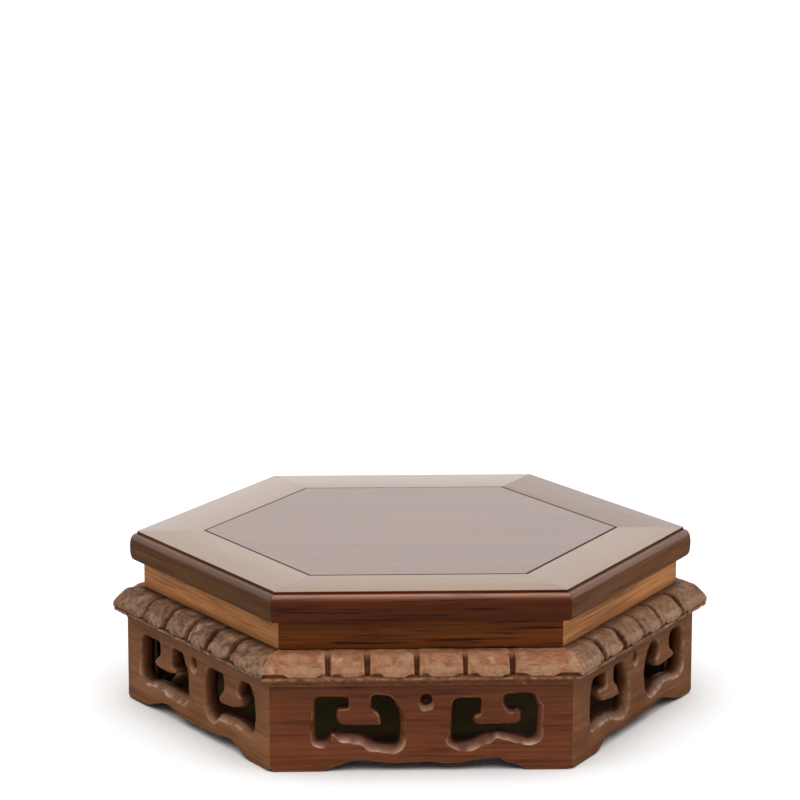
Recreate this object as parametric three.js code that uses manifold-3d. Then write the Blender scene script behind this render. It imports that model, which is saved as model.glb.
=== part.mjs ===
// A six sided wooden stand for a vase, made as a small piece of furniture.
// A frame of six mitred rails holds a floating panel. Under it come a plain waist,
// a shoulder moulding carved as a row of roof tiles, and pierced aprons whose ends are the feet.
import * as THREE from 'three';
import { mergeVertices } from 'three/addons/utils/BufferGeometryUtils.js';
import Module from 'manifold-3d';

const wasm = await Module();
wasm.setup();

// Joints, in millimetres like every size here
const glueLine = 0.1;
const mitreGap = 0.2;
const jointClearance = 0.3;
const tongueHeight = 3;
const tongueThickness = 3;

// Top frame
const topFlatToFlat = 200;
const railThickness = 12;
const railWidth = 26.6;
const railTopInset = 2.9;
const railStepDepth = 1.2;
const railStepWidth = 0.6;
const railFootInset = 1.5;
const railBulgeLevel = 5.4;

// Floating panel and the battens across its underside
const panelThickness = 7;
const panelShadowLine = 0.4;
const panelTongueThickness = 3;
const panelTongueReach = 3.9;
const battenSpacing = 52;
const battenWidth = 14;
const battenKeyDepth = 2;
const battenKeySlant = 1.2;
const battenTenonReach = 4;

// Loose tenons across the frame's mitres
const tenonLength = 12;
const tenonThickness = 4;
const tenonWall = 1.2;

// Waist
const waistHeight = 11.7;
const waistInset = 5.1;
const waistThickness = 7;
const waistBlockLength = 24;
const waistBlockWidth = 9;
const waistBlockHeight = 8;

// Shoulder moulding
const mouldingHeight = 12.8;
const mouldingShelf = 6.3;
const mouldingInside = 1;
const tileReach = 5;
const tileDrop = 5.8;
const tileEdge = 2.1;
const beadInset = 0.4;
const beadHeight = 1.6;
const tilesPerSide = 6;
const tilePitch = 18;
const tileGrooveWidth = 1.9;
const tileGrooveDepth = 1.7;
const tileGrooveRunout = 0.5;
const scallopWidth = 8.4;
const scallopDepth = 1.5;
const cornerTileStraight = 11;

// Aprons
const apronHeight = 34.3;
const apronThickness = 7;
const apronInset = 5;
const footWidth = 16.5;
const archPeakOffset = 27.3;
const archPeak = 4.8;
const archDipOffset = 14;
const archDip = 2.9;
const archMiddle = 3.5;
const gougeRadius = 2.9;
const gougeDepth = 3.4;
const gougeBelowTop = 6.2;

// Pierced windows, two to an apron, with a cloud head hanging in each
const windowOffset = 27.3;
const windowWidth = 34.6;
const windowBelowTop = 4.3;
const windowHeight = 18.3;
const windowRound = 3;
const lobeRound = 1.6;
const sillRise = 2.6;
const sillHalfWidth = 4.5;
const sillFoot = 11;
const stemWidth = 9.6;
const neckHeight = 5.7;
const headWidth = 18.6;
const headHeight = 6;
const neckRound = 1.8;

// Blocks glued in the inner corners of the aprons
const cornerBlockLeg = 8.5;
const cornerBlockAboveFloor = 4;

// Places that follow from those sizes
const sideCount = 6;
const sideTurn = (2 * Math.PI) / sideCount;
const mitreSlope = Math.tan(sideTurn / 2);
const apronTop = apronHeight;
const mouldingTop = apronTop + mouldingHeight;
const waistTop = mouldingTop + waistHeight;
const standTop = waistTop + railThickness;
const railOut = topFlatToFlat / 2;
const railIn = railOut - railWidth;
const waistOut = railOut - waistInset;
const waistIn = waistOut - waistThickness;
const tileTopOut = waistOut + mouldingShelf;
const lipOut = tileTopOut + tileReach;
const mouldingIn = waistIn - mouldingInside;
const apronOut = lipOut - apronInset;
const apronIn = apronOut - apronThickness;
const barLength = 2 * lipOut;
const roundSteps = 4;
const overcut = 1;

// Finishes
const railColor = 0x5a3320;
const panelColor = 0x6d3a20;
const waistColor = 0x8a5230;
const mouldingColor = 0xa5785f;
const apronColor = 0x70402c;
const innerColor = 0x9a6b45;

function wood(color) {
  return new THREE.MeshStandardMaterial({ color, roughness: 0.45, metalness: 0 });
}

// A closed geometry becomes a solid that can be cut and joined
function solidFrom(geometry) {
  geometry.deleteAttribute('normal');
  geometry.deleteAttribute('uv');
  const merged = mergeVertices(geometry);
  const vertProperties = new Float32Array(merged.attributes.position.array);
  const triVerts = new Uint32Array(merged.index.array);
  return new wasm.Manifold(new wasm.Mesh({ numProp: 3, vertProperties, triVerts }));
}

function geometryFrom(solid) {
  const cut = solid.getMesh();
  const geometry = new THREE.BufferGeometry();
  geometry.setAttribute('position', new THREE.BufferAttribute(cut.vertProperties, 3));
  geometry.setIndex(new THREE.BufferAttribute(cut.triVerts, 1));
  geometry.computeVertexNormals();
  return geometry;
}

function outlineOf(points) {
  return new THREE.Shape(points.map(([x, y]) => new THREE.Vector2(x, y)));
}

// A flat outline in plan, raised from one level to another
function raised(outline, low, high) {
  const geometry = new THREE.ExtrudeGeometry(outline, {
    depth: high - low,
    bevelEnabled: false,
    curveSegments: roundSteps,
  });
  geometry.translate(0, 0, low);
  return solidFrom(geometry);
}

function boxBetween(low, high) {
  const size = high.map((value, axis) => value - low[axis]);
  const geometry = new THREE.BoxGeometry(...size);
  geometry.translate(...high.map((value, axis) => (value + low[axis]) / 2));
  return solidFrom(geometry);
}

// The sixth of the plan that belongs to the front side, less half the gap at each mitre
const wedgeTip = mitreGap / 2 / Math.sin(sideTurn / 2);
const wedgeEnd = (barLength - wedgeTip) * mitreSlope;
const wedgeOutline = outlineOf([[0, -wedgeTip], [-wedgeEnd, -barLength], [wedgeEnd, -barLength]]);
const frontWedge = raised(wedgeOutline, -overcut, standTop + overcut);

// A bar along the front side, from its section: distance from the axis, then height
function longBar(section) {
  const geometry = new THREE.ExtrudeGeometry(section, {
    depth: barLength,
    bevelEnabled: false,
    curveSegments: roundSteps,
  });
  geometry.translate(0, 0, -barLength / 2);
  geometry.rotateX(Math.PI / 2);
  geometry.rotateZ(-Math.PI / 2);
  return solidFrom(geometry);
}

function mitredBar(section) {
  return longBar(section).intersect(frontWedge);
}

function squareSection(inner, outer, low, high) {
  return outlineOf([[inner, low], [outer, low], [outer, high], [inner, high]]);
}

function hexagonOutline(flatDistance) {
  const radius = flatDistance / Math.cos(sideTurn / 2);
  const corners = Array.from({ length: sideCount }, (_, index) => {
    const angle = index * sideTurn;
    return [radius * Math.cos(angle), radius * Math.sin(angle)];
  });
  return outlineOf(corners);
}

// A tongue half way through a board, and the groove that it enters
function tongueRange(inner, outer) {
  const middle = (inner + outer) / 2;
  return [middle - tongueThickness / 2, middle + tongueThickness / 2];
}

function groove(inner, outer, low, high) {
  const [near, far] = tongueRange(inner, outer);
  return longBar(squareSection(near - jointClearance, far + jointClearance, low, high));
}

// Loose tenons cross the mitres between the panel's groove and the waist's
const panelLow = standTop - panelThickness;
const panelGrooveOut = railIn - panelShadowLine + panelTongueReach + jointClearance;
const waistGrooveIn = tongueRange(waistIn, waistOut)[0] - jointClearance;
const tenonSlant = (tenonLength / 2) * Math.sin(sideTurn / 2);
const tenonIn = (panelGrooveOut + tenonWall) / Math.cos(sideTurn / 2);
const tenonOut = (waistGrooveIn - tenonWall - tenonSlant) / Math.cos(sideTurn / 2);
const tenonLow = waistTop + (railThickness - tenonThickness) / 2;

function tenonSolid(clearance) {
  const half = tenonLength / 2 + clearance;
  const low = [tenonIn - clearance, -half, tenonLow - clearance];
  const high = [tenonOut + clearance, half, tenonLow + tenonThickness + clearance];
  return boxBetween(low, high);
}

// Battens run from the front rail to the back one, keyed into the panel with a dovetail
const battenMiddle = battenSpacing / 2;

function battenBar(middle, clearance) {
  const reach = railIn + battenTenonReach + clearance;
  const half = battenWidth / 2 + clearance;
  const low = [middle - half, -reach, waistTop - clearance];
  const high = [middle + half, reach, panelLow - glueLine + clearance];
  return boxBetween(low, high);
}

function battenKey(middle, clearance, low, reach) {
  const narrow = battenWidth / 2 - battenKeySlant + clearance;
  const wide = battenWidth / 2 + clearance;
  const high = panelLow + battenKeyDepth + clearance;
  const right = [[narrow, low], [narrow, panelLow], [wide, high]];
  const left = right.map(([x, y]) => [-x, y]).reverse();
  const geometry = new THREE.ExtrudeGeometry(outlineOf([...right, ...left]), {
    depth: 2 * reach,
    bevelEnabled: false,
  });
  geometry.rotateX(Math.PI / 2);
  geometry.translate(middle, reach, 0);
  return solidFrom(geometry);
}

function battenSolid(middle) {
  const inside = (waistTop + panelLow) / 2;
  return battenBar(middle, 0).add(battenKey(middle, 0, inside, railIn - panelShadowLine));
}

// Rail: a small step over a rounded outer edge, and grooves for the panel's tongue and the waist's
function railSection() {
  const arris = railOut - railTopInset;
  const stepFoot = standTop - railStepDepth;
  const section = new THREE.Shape();
  section.moveTo(railIn, waistTop);
  section.lineTo(railOut - railFootInset, waistTop);
  section.quadraticCurveTo(railOut, waistTop, railOut, waistTop + railBulgeLevel);
  section.quadraticCurveTo(railOut, stepFoot, arris + railStepWidth, stepFoot);
  section.lineTo(arris, stepFoot);
  section.lineTo(arris, standTop);
  section.lineTo(railIn, standTop);
  section.closePath();
  return section;
}

function railSolid(carriesBattens) {
  const panelGroove = longBar(squareSection(
    railIn - overcut,
    panelGrooveOut,
    panelLow - jointClearance,
    panelLow + panelTongueThickness + jointClearance,
  ));
  let rail = mitredBar(railSection())
    .subtract(panelGroove)
    .subtract(groove(waistIn, waistOut, waistTop - overcut, waistTop + tongueHeight + jointClearance));
  for (const end of [-1, 1]) {
    const corner = THREE.MathUtils.radToDeg(-Math.PI / 2 + end * sideTurn / 2);
    rail = rail.subtract(tenonSolid(jointClearance).rotate([0, 0, corner]));
    if (carriesBattens) {
      rail = rail.subtract(battenBar(end * battenMiddle, jointClearance));
    }
  }
  return rail;
}

// Panel: flush with the rails, with a rebated tongue that floats in their grooves
function panelSolid() {
  const face = railIn - panelShadowLine;
  let panel = raised(hexagonOutline(face), panelLow, standTop);
  const tongue = hexagonOutline(face + panelTongueReach);
  panel = panel.add(raised(tongue, panelLow, panelLow + panelTongueThickness));
  for (const side of [-1, 1]) {
    panel = panel.subtract(battenKey(side * battenMiddle, jointClearance, waistTop, railOut));
  }
  return panel;
}

// Waist board: a plain board with a tongue up into the rail and one down into the moulding
function waistSolid() {
  const [near, far] = tongueRange(waistIn, waistOut);
  const board = mitredBar(squareSection(waistIn, waistOut, mouldingTop + glueLine, waistTop - glueLine));
  const tongues = mitredBar(squareSection(near, far, mouldingTop - tongueHeight, waistTop + tongueHeight));
  return board.add(tongues);
}

// Moulding: a shelf, sloping tiles with scalloped lower edges, a bead and a cove
const tileFoot = mouldingTop - tileDrop;
const beadTop = tileFoot - tileEdge;
const coveTop = beadTop - beadHeight;

function mouldingSection() {
  const beadOut = lipOut - beadInset;
  const section = new THREE.Shape();
  section.moveTo(mouldingIn, apronTop);
  section.lineTo(apronOut, apronTop);
  section.quadraticCurveTo(apronOut, coveTop, beadOut, coveTop);
  section.lineTo(beadOut, beadTop);
  section.lineTo(lipOut, beadTop);
  section.lineTo(lipOut, tileFoot);
  section.lineTo(tileTopOut, mouldingTop);
  section.lineTo(mouldingIn, mouldingTop);
  section.closePath();
  return section;
}

function tileGroove(offset) {
  const slope = Math.hypot(tileReach, tileDrop);
  const geometry = new THREE.ExtrudeGeometry(
    outlineOf([[-tileGrooveWidth / 2, 0], [0, -tileGrooveDepth], [tileGrooveWidth / 2, 0], [0, overcut]]),
    { depth: tileGrooveDepth + slope + tileGrooveRunout, bevelEnabled: false },
  );
  const across = new THREE.Vector3(1, 0, 0);
  const outward = new THREE.Vector3(0, -tileDrop / slope, tileReach / slope);
  const down = new THREE.Vector3().crossVectors(across, outward);
  const start = new THREE.Vector3(offset, -tileTopOut, mouldingTop);
  start.addScaledVector(down, -tileGrooveDepth);
  const place = new THREE.Matrix4().makeBasis(across, outward, down);
  place.setPosition(start);
  geometry.applyMatrix4(place);
  return solidFrom(geometry);
}

// The lower edge of the tiles is cut away to an arch at each groove
function scallop(offset) {
  const outline = new THREE.Shape();
  outline.moveTo(-scallopWidth / 2, beadTop);
  outline.quadraticCurveTo(-scallopWidth / 4, tileFoot, 0, tileFoot);
  outline.quadraticCurveTo(scallopWidth / 4, tileFoot, scallopWidth / 2, beadTop);
  outline.closePath();
  return cutInward(outline, offset, lipOut - scallopDepth);
}

// An outline on the front side, cut from the outside to a given distance from the axis
function cutInward(outline, offset, reach) {
  const geometry = new THREE.ExtrudeGeometry(outline, {
    depth: barLength,
    bevelEnabled: false,
    curveSegments: roundSteps / 2,
  });
  geometry.rotateX(Math.PI / 2);
  geometry.translate(offset, -reach, 0);
  return solidFrom(geometry);
}

function mouldingSolid() {
  const grooveDepth = tongueHeight + jointClearance;
  const apronGroove = groove(apronIn, apronOut, apronTop - overcut, apronTop + grooveDepth);
  const waistGroove = groove(waistIn, waistOut, mouldingTop - grooveDepth, mouldingTop + overcut);
  let moulding = mitredBar(mouldingSection()).subtract(apronGroove).subtract(waistGroove);
  for (let index = 1; index < tilesPerSide; index += 1) {
    const offset = (index - tilesPerSide / 2) * tilePitch;
    moulding = moulding.subtract(tileGroove(offset)).subtract(scallop(offset));
  }
  const corner = lipOut * mitreSlope;
  for (const end of [-1, 1]) {
    const near = end * (corner - cornerTileStraight);
    const far = end * (corner + overcut);
    const recess = outlineOf([[near, beadTop], [far, beadTop], [far, tileFoot], [near, tileFoot]]);
    moulding = moulding.subtract(cutInward(recess, 0, lipOut - scallopDepth));
  }
  return moulding;
}

// Apron: ends that stand as feet, an arched lower edge and two pierced windows
function apronOutline() {
  const half = barLength / 2;
  const foot = apronOut * mitreSlope - footWidth;
  const top = apronTop - glueLine;
  const outline = new THREE.Shape();
  outline.moveTo(-half, top);
  outline.lineTo(-half, 0);
  outline.lineTo(-foot, 0);
  for (const [from, to] of archStretches(foot)) {
    const middle = (from[0] + to[0]) / 2;
    outline.bezierCurveTo(middle, from[1], middle, to[1], to[0], to[1]);
  }
  outline.lineTo(half, 0);
  outline.lineTo(half, top);
  outline.closePath();
  for (const side of [-1, 1]) {
    outline.holes.push(windowPath(side * windowOffset));
  }
  return outline;
}

function archStretches(foot) {
  const left = [[-foot, 0], [-archPeakOffset, archPeak], [-archDipOffset, archDip]];
  const right = left.map(([x, y]) => [-x, y]).reverse();
  const knots = [...left, [0, archMiddle], ...right];
  return knots.slice(1).map((knot, index) => [knots[index], knot]);
}

// One window: a channel that runs round a hanging cloud head, with a wave in its sill
function windowPath(centre) {
  const top = apronTop - windowBelowTop;
  const bottom = top - windowHeight;
  const half = windowWidth / 2;
  const stem = stemWidth / 2;
  const headTop = top - neckHeight;
  const headRound = headHeight / 2;
  const headEnd = headWidth / 2 - headRound;
  const headMiddle = headTop - headRound;
  const sill = bottom + sillRise;
  const path = new THREE.Path();
  path.moveTo(centre + stem, top - lobeRound);
  path.quadraticCurveTo(centre + stem, top, centre + stem + lobeRound, top);
  path.lineTo(centre + half - windowRound, top);
  path.quadraticCurveTo(centre + half, top, centre + half, top - windowRound);
  path.lineTo(centre + half, bottom + windowRound);
  path.quadraticCurveTo(centre + half, bottom, centre + half - windowRound, bottom);
  path.bezierCurveTo(centre + sillFoot, bottom, centre + sillHalfWidth, sill, centre, sill);
  path.bezierCurveTo(
    centre - sillHalfWidth, sill, centre - sillFoot, bottom, centre - half + windowRound, bottom,
  );
  path.quadraticCurveTo(centre - half, bottom, centre - half, bottom + windowRound);
  path.lineTo(centre - half, top - windowRound);
  path.quadraticCurveTo(centre - half, top, centre - half + windowRound, top);
  path.lineTo(centre - stem - lobeRound, top);
  path.quadraticCurveTo(centre - stem, top, centre - stem, top - lobeRound);
  path.lineTo(centre - stem, headTop + neckRound);
  path.quadraticCurveTo(centre - stem, headTop, centre - stem - neckRound, headTop);
  path.absarc(centre - headEnd, headMiddle, headRound, Math.PI / 2, 1.5 * Math.PI, false);
  path.absarc(centre + headEnd, headMiddle, headRound, -Math.PI / 2, Math.PI / 2, false);
  path.lineTo(centre + stem + neckRound, headTop);
  path.quadraticCurveTo(centre + stem, headTop, centre + stem, headTop + neckRound);
  path.closePath();
  return path;
}

function apronSolid() {
  const geometry = new THREE.ExtrudeGeometry(apronOutline(), {
    depth: apronThickness,
    bevelEnabled: false,
    curveSegments: roundSteps,
  });
  geometry.rotateX(Math.PI / 2);
  geometry.translate(0, -apronIn, 0);
  const [near, far] = tongueRange(apronIn, apronOut);
  const tongue = mitredBar(squareSection(near, far, apronTop - overcut, apronTop + tongueHeight));
  return solidFrom(geometry).intersect(frontWedge).add(tongue).subtract(gougeSolid());
}

// The blind hole between the windows narrows evenly to its tip
function gougeSolid() {
  const geometry = new THREE.ConeGeometry(2 * gougeRadius, 2 * gougeDepth, 3 * roundSteps);
  geometry.translate(0, -apronOut, apronTop - gougeBelowTop);
  return solidFrom(geometry);
}

// Blocks glued behind the work: one behind each waist board, one in each corner of the aprons
function waistBlockSolid() {
  const back = waistIn - glueLine;
  const top = waistTop - glueLine;
  const low = [-waistBlockLength / 2, -back, top - waistBlockHeight];
  const high = [waistBlockLength / 2, -back + waistBlockWidth, top];
  return boxBetween(low, high);
}

function cornerBlockSolid() {
  const tip = (apronIn - glueLine) / Math.cos(sideTurn / 2);
  const back = tip - cornerBlockLeg * Math.sin(sideTurn / 2);
  const half = cornerBlockLeg * Math.cos(sideTurn / 2);
  const outline = outlineOf([[tip, 0], [back, half], [back, -half]]);
  return raised(outline, cornerBlockAboveFloor, apronTop - glueLine);
}

// The assembly: one mesh for each piece, turned to its side or corner
const sideNames = ['front', 'front_right', 'back_right', 'back', 'back_left', 'front_left'];
const cornerNames = ['front_right', 'right', 'back_right', 'back_left', 'left', 'front_left'];
const stand = new THREE.Group();

function addPiece(name, geometry, color, turn) {
  const mesh = new THREE.Mesh(geometry, wood(color));
  mesh.name = name;
  mesh.rotation.z = turn;
  stand.add(mesh);
}

function addSides(prefix, solid, color) {
  const geometry = geometryFrom(solid);
  sideNames.forEach((side, index) => addPiece(`${prefix}_${side}`, geometry, color, index * sideTurn));
}

function addCorners(prefix, solid, color) {
  const geometry = geometryFrom(solid);
  cornerNames.forEach((corner, index) => {
    addPiece(`${prefix}_${corner}`, geometry, color, (index - 1) * sideTurn);
  });
}

const plainRail = geometryFrom(railSolid(false));
const battenRail = geometryFrom(railSolid(true));
sideNames.forEach((side, index) => {
  const facesAlongY = index % (sideCount / 2) === 0;
  addPiece(`top_rail_${side}`, facesAlongY ? battenRail : plainRail, railColor, index * sideTurn);
});
addPiece('top_panel', geometryFrom(panelSolid()), panelColor, 0);
addPiece('panel_batten_left', geometryFrom(battenSolid(-battenMiddle)), innerColor, 0);
addPiece('panel_batten_right', geometryFrom(battenSolid(battenMiddle)), innerColor, 0);
addCorners('mitre_tenon', tenonSolid(0), innerColor);
addSides('waist_board', waistSolid(), waistColor);
addSides('waist_block', waistBlockSolid(), innerColor);
addSides('tile_moulding', mouldingSolid(), mouldingColor);
addSides('apron', apronSolid(), apronColor);
addCorners('corner_block', cornerBlockSolid(), innerColor);

export default stand;
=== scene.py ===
import functools
import math
import random
import bmesh
import bpy
import numpy as np
from mathutils import Matrix, Vector, noise
from mathutils.geometry import delaunay_2d_cdt


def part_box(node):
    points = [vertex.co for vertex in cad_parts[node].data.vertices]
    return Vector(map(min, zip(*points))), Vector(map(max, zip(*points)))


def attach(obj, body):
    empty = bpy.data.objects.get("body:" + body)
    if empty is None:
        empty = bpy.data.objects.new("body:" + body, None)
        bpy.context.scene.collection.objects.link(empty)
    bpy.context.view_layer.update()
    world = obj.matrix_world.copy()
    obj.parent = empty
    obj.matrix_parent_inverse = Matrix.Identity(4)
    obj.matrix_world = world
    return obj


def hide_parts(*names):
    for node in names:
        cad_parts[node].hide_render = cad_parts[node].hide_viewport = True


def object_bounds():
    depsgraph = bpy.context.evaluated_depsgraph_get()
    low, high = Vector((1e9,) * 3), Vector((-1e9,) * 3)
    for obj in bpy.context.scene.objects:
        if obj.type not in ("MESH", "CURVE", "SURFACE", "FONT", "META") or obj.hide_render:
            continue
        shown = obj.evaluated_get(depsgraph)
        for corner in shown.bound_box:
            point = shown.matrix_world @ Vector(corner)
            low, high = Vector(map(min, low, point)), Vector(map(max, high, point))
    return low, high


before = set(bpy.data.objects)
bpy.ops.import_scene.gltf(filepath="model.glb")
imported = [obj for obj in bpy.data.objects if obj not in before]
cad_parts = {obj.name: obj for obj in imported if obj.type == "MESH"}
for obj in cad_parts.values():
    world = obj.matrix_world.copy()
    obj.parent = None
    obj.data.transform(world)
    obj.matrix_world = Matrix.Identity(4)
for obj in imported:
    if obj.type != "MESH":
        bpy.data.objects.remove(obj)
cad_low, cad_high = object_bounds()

scene = bpy.context.scene

# Camera
# It stands in front of the stand, a little to the left and above, with a long lens.
stand_top = Vector((0, 0, cad_high.z))
camera_distance = 1.3874
camera_tilt = 0.20784
camera_yaw = 0.03744
camera_roll = 0.00154
camera_lens = 152.2
camera_sensor = 36
camera_far = 100
aim_right = 0.00463
aim_up = -0.05278

heading = Matrix.Rotation(-camera_yaw, 3, "Z")
right = heading @ Vector((1, 0, 0))
forward = heading @ Vector((0, math.cos(camera_tilt), -math.sin(camera_tilt)))
up = right.cross(forward)
camera = bpy.data.objects.new("camera", bpy.data.cameras.new("camera"))
camera.data.lens = camera_lens
camera.data.sensor_width = camera_sensor
camera.data.clip_end = camera_far
camera_axes = Matrix((right, up, -forward)).transposed() @ Matrix.Rotation(camera_roll, 3, "Z")
camera_place = stand_top - aim_right * right - aim_up * up - camera_distance * forward
camera.matrix_world = Matrix.Translation(camera_place) @ camera_axes.to_4x4()
scene.collection.objects.link(camera)
scene.camera = camera
scene.view_settings.view_transform = "Standard"


# Studio
# A plain pale floor in soft light from above. The walls behind and beside the stand are white,
# and the room in front of it is dimmer. Under the stand the floor is painted dark, as painted shade.
floor_reach = 9.0
floor_color = (0.97, 0.97, 0.965, 1)
floor_front_color = (0.42, 0.42, 0.42, 1)
floor_mirrored_color = (0.06, 0.05, 0.045, 1)
# Painted shade under the stand: dark in the middle, browner towards the rim of the patch.
floor_painted_shade_color = (0.72, 0.60, 0.30, 1)
floor_painted_rim_shade_color = (0.20, 0.10, 0.05, 1)
floor_shaded_from = 0.0955
floor_shaded_to = 0.0900
floor_shaded_back = 0.014
floor_shaded_slant = (0.84, 0.5)
floor_rim_from = 0.060
floor_rim_to = 0.080
floor_front_from = 0.10
floor_front_to = 0.45
room_level = 0.42
front_level = 0.28
front_from = 0.15
front_to = 0.85
overhead_strength = 2.75
overhead_spread = math.radians(90)
overhead_lean = math.radians(12)


def add(tree, kind, sockets=(), **settings):
    made = tree.nodes.new(kind)
    for name, value in settings.items():
        setattr(made, name, value)
    for name, value in dict(sockets).items():
        socket = made.inputs[name] if isinstance(name, int) else named(made.inputs, name)
        if isinstance(value, bpy.types.NodeSocket):
            tree.links.new(value, socket)
        else:
            socket.default_value = value
    return made


def named(sockets, name):
    return next(socket for socket in sockets if socket.name == name and socket.enabled)


def calc(tree, operation, *values):
    return add(tree, "ShaderNodeMath", dict(enumerate(values)), operation=operation).outputs[0]


def ramp(tree, value, start, end, kind="SMOOTHSTEP"):
    """Rises from 0 at start to 1 at end, and stays there."""
    sockets = {"Value": value, "From Min": start, "From Max": end}
    return add(tree, "ShaderNodeMapRange", sockets, interpolation_type=kind).outputs["Result"]


def mixed(tree, factor, first, second):
    sockets = {"Factor": factor, "A": first, "B": second}
    return named(add(tree, "ShaderNodeMix", sockets, data_type="FLOAT").outputs, "Result")


def color_mix(tree, factor, first, second, blend="MIX"):
    sockets = {"Factor": factor, "A": first, "B": second}
    return named(add(tree, "ShaderNodeMix", sockets, data_type="RGBA", blend_type=blend).outputs, "Result")


def toward_front(tree, position, start, end):
    """Nothing behind start, everything past end, measured towards the front."""
    y = add(tree, "ShaderNodeSeparateXYZ", {"Vector": position}).outputs["Y"]
    return ramp(tree, y, -start, -end)


def new_paint(name):
    """A material without nodes yet, and its tree."""
    paint = bpy.data.materials.new(name)
    paint.use_nodes = True
    paint.node_tree.nodes.clear()
    return paint, paint.node_tree


def room_light():
    world = bpy.data.worlds.new("studio")
    world.use_nodes = True
    tree = world.node_tree
    rays = add(tree, "ShaderNodeLightPath").outputs
    direction = add(tree, "ShaderNodeTexCoord").outputs["Generated"]
    front = toward_front(tree, direction, front_from, front_to)
    mirrored = calc(tree, "MAXIMUM", rays["Is Glossy Ray"], rays["Is Transmission Ray"])
    level = mixed(tree, mirrored, room_level, 1.0)
    level = mixed(tree, front, level, front_level)
    level = mixed(tree, rays["Is Camera Ray"], level, 1.0)
    background = tree.nodes["Background"]
    background.inputs["Color"].default_value = (1, 1, 1, 1)
    tree.links.new(level, background.inputs["Strength"])
    return world


def from_middle(tree, position):
    """Distance from a place a little behind the middle, square to the nearest of the six sides."""
    spot = add(tree, "ShaderNodeSeparateXYZ", {"Vector": position}).outputs
    beside = calc(tree, "ABSOLUTE", spot["X"])
    before = calc(tree, "ABSOLUTE", calc(tree, "SUBTRACT", spot["Y"], floor_shaded_back))
    slanting = [
        calc(tree, "MULTIPLY", way, share) for way, share in zip((beside, before), floor_shaded_slant)
    ]
    return calc(tree, "MAXIMUM", calc(tree, "ADD", *slanting), before)


def floor_paint():
    """Pale all round, and painted dark under the stand as painted shade, where no light reaches the real
    one.
    """
    paint, tree = new_paint("studio_floor")
    position = add(tree, "ShaderNodeTexCoord").outputs["Object"]
    rays = add(tree, "ShaderNodeLightPath").outputs
    front = toward_front(tree, position, floor_front_from, floor_front_to)
    dim = mixed(tree, rays["Is Camera Ray"], front, 0.0)
    color = color_mix(tree, dim, floor_color, floor_front_color)
    away = from_middle(tree, position)
    rim = ramp(tree, away, floor_rim_from, floor_rim_to)
    dark = color_mix(tree, rim, floor_painted_shade_color, floor_painted_rim_shade_color)
    shaded = ramp(tree, away, floor_shaded_from, floor_shaded_to)
    color = color_mix(tree, shaded, color, dark)
    color = color_mix(tree, rays["Is Glossy Ray"], color, floor_mirrored_color)
    surface = add(tree, "ShaderNodeBsdfDiffuse", {"Color": color})
    add(tree, "ShaderNodeOutputMaterial", {"Surface": surface.outputs["BSDF"]})
    return paint


scene.world = room_light()
floor_mesh = bpy.data.meshes.new("floor")
floor_corners = [(x * floor_reach, y * floor_reach, 0) for x, y in ((-1, -1), (1, -1), (1, 1), (-1, 1))]
floor_mesh.from_pydata(floor_corners, [], [(0, 1, 2, 3)])
floor_mesh.materials.append(floor_paint())
floor = bpy.data.objects.new("floor", floor_mesh)
scene.collection.objects.link(floor)

overhead = bpy.data.objects.new("overhead", bpy.data.lights.new("overhead", "SUN"))
overhead.data.energy = overhead_strength
overhead.data.angle = overhead_spread
overhead.matrix_world = Matrix.Rotation(overhead_lean, 4, "X")
scene.collection.objects.link(overhead)


# Top frame
# Six hardwood rails, mitred at the corners and joined there with loose tenons. Each has a small
# step above a rounded outer edge, a groove for the panel and one for the waist board.
mm = 0.001
side_names = ("front", "front_right", "back_right", "back", "back_left", "front_left")
side_angle = math.radians(60)
mitre_slope = math.tan(side_angle / 2)
mitre_gap = 0.02 * mm
tongue_clearance = 0.3 * mm
stand_height = cad_high.z
rail_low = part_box("top_rail_front")[0]
rail_out = -rail_low.y
rail_foot = rail_low.z
rail_in = -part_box("top_rail_front")[1].y
rail_arris = rail_out - 2.9 * mm
rail_step = 1.2 * mm
rail_step_width = 0.6 * mm
rail_bulge = 5.4 * mm
rail_foot_inset = 1.5 * mm
rail_round_steps = 12
batten_proud = 0.05 * mm
eased = 0.3 * mm
panel_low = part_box("top_panel")[0].z
panel_tongue = 3 * mm
panel_face = rail_in - 0.4 * mm
panel_tongue_out = panel_face + 3.9 * mm
waist_low, waist_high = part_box("waist_board_front")
waist_out = -waist_low.y
waist_in = -waist_high.y
tongue_thickness = 3 * mm
tongue_height = 3 * mm
rail_stations = 90
rail_corner = (0.9 * mm, 0.25 * mm)
smooth_below = math.radians(32)
# The dark line painted into gaps, steps and channels, as painted shade.
gap_shade = 0.97
board_random = random.Random(11)
log_reach = (1, 9)


def by_side(usual, **others):
    """One value for each side: the usual one, but for the sides that are named."""
    return {side: others.get(side, usual) for side in side_names}


def tongue_walls(inner, outer, clearance=0.0):
    middle = (inner + outer) / 2
    half = tongue_thickness / 2 + clearance
    return middle - half, middle + half


def bend(start, corner, end, steps):
    """A round stretch from start to end that leans towards the corner."""
    points = []
    for step in range(steps + 1):
        t = step / steps
        weights = ((1 - t) ** 2, 2 * t * (1 - t), t ** 2)
        pulls = list(zip(weights, (start, corner, end)))
        points.append(tuple(sum(weight * place[axis] for weight, place in pulls) for axis in (0, 1)))
    return points


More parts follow.
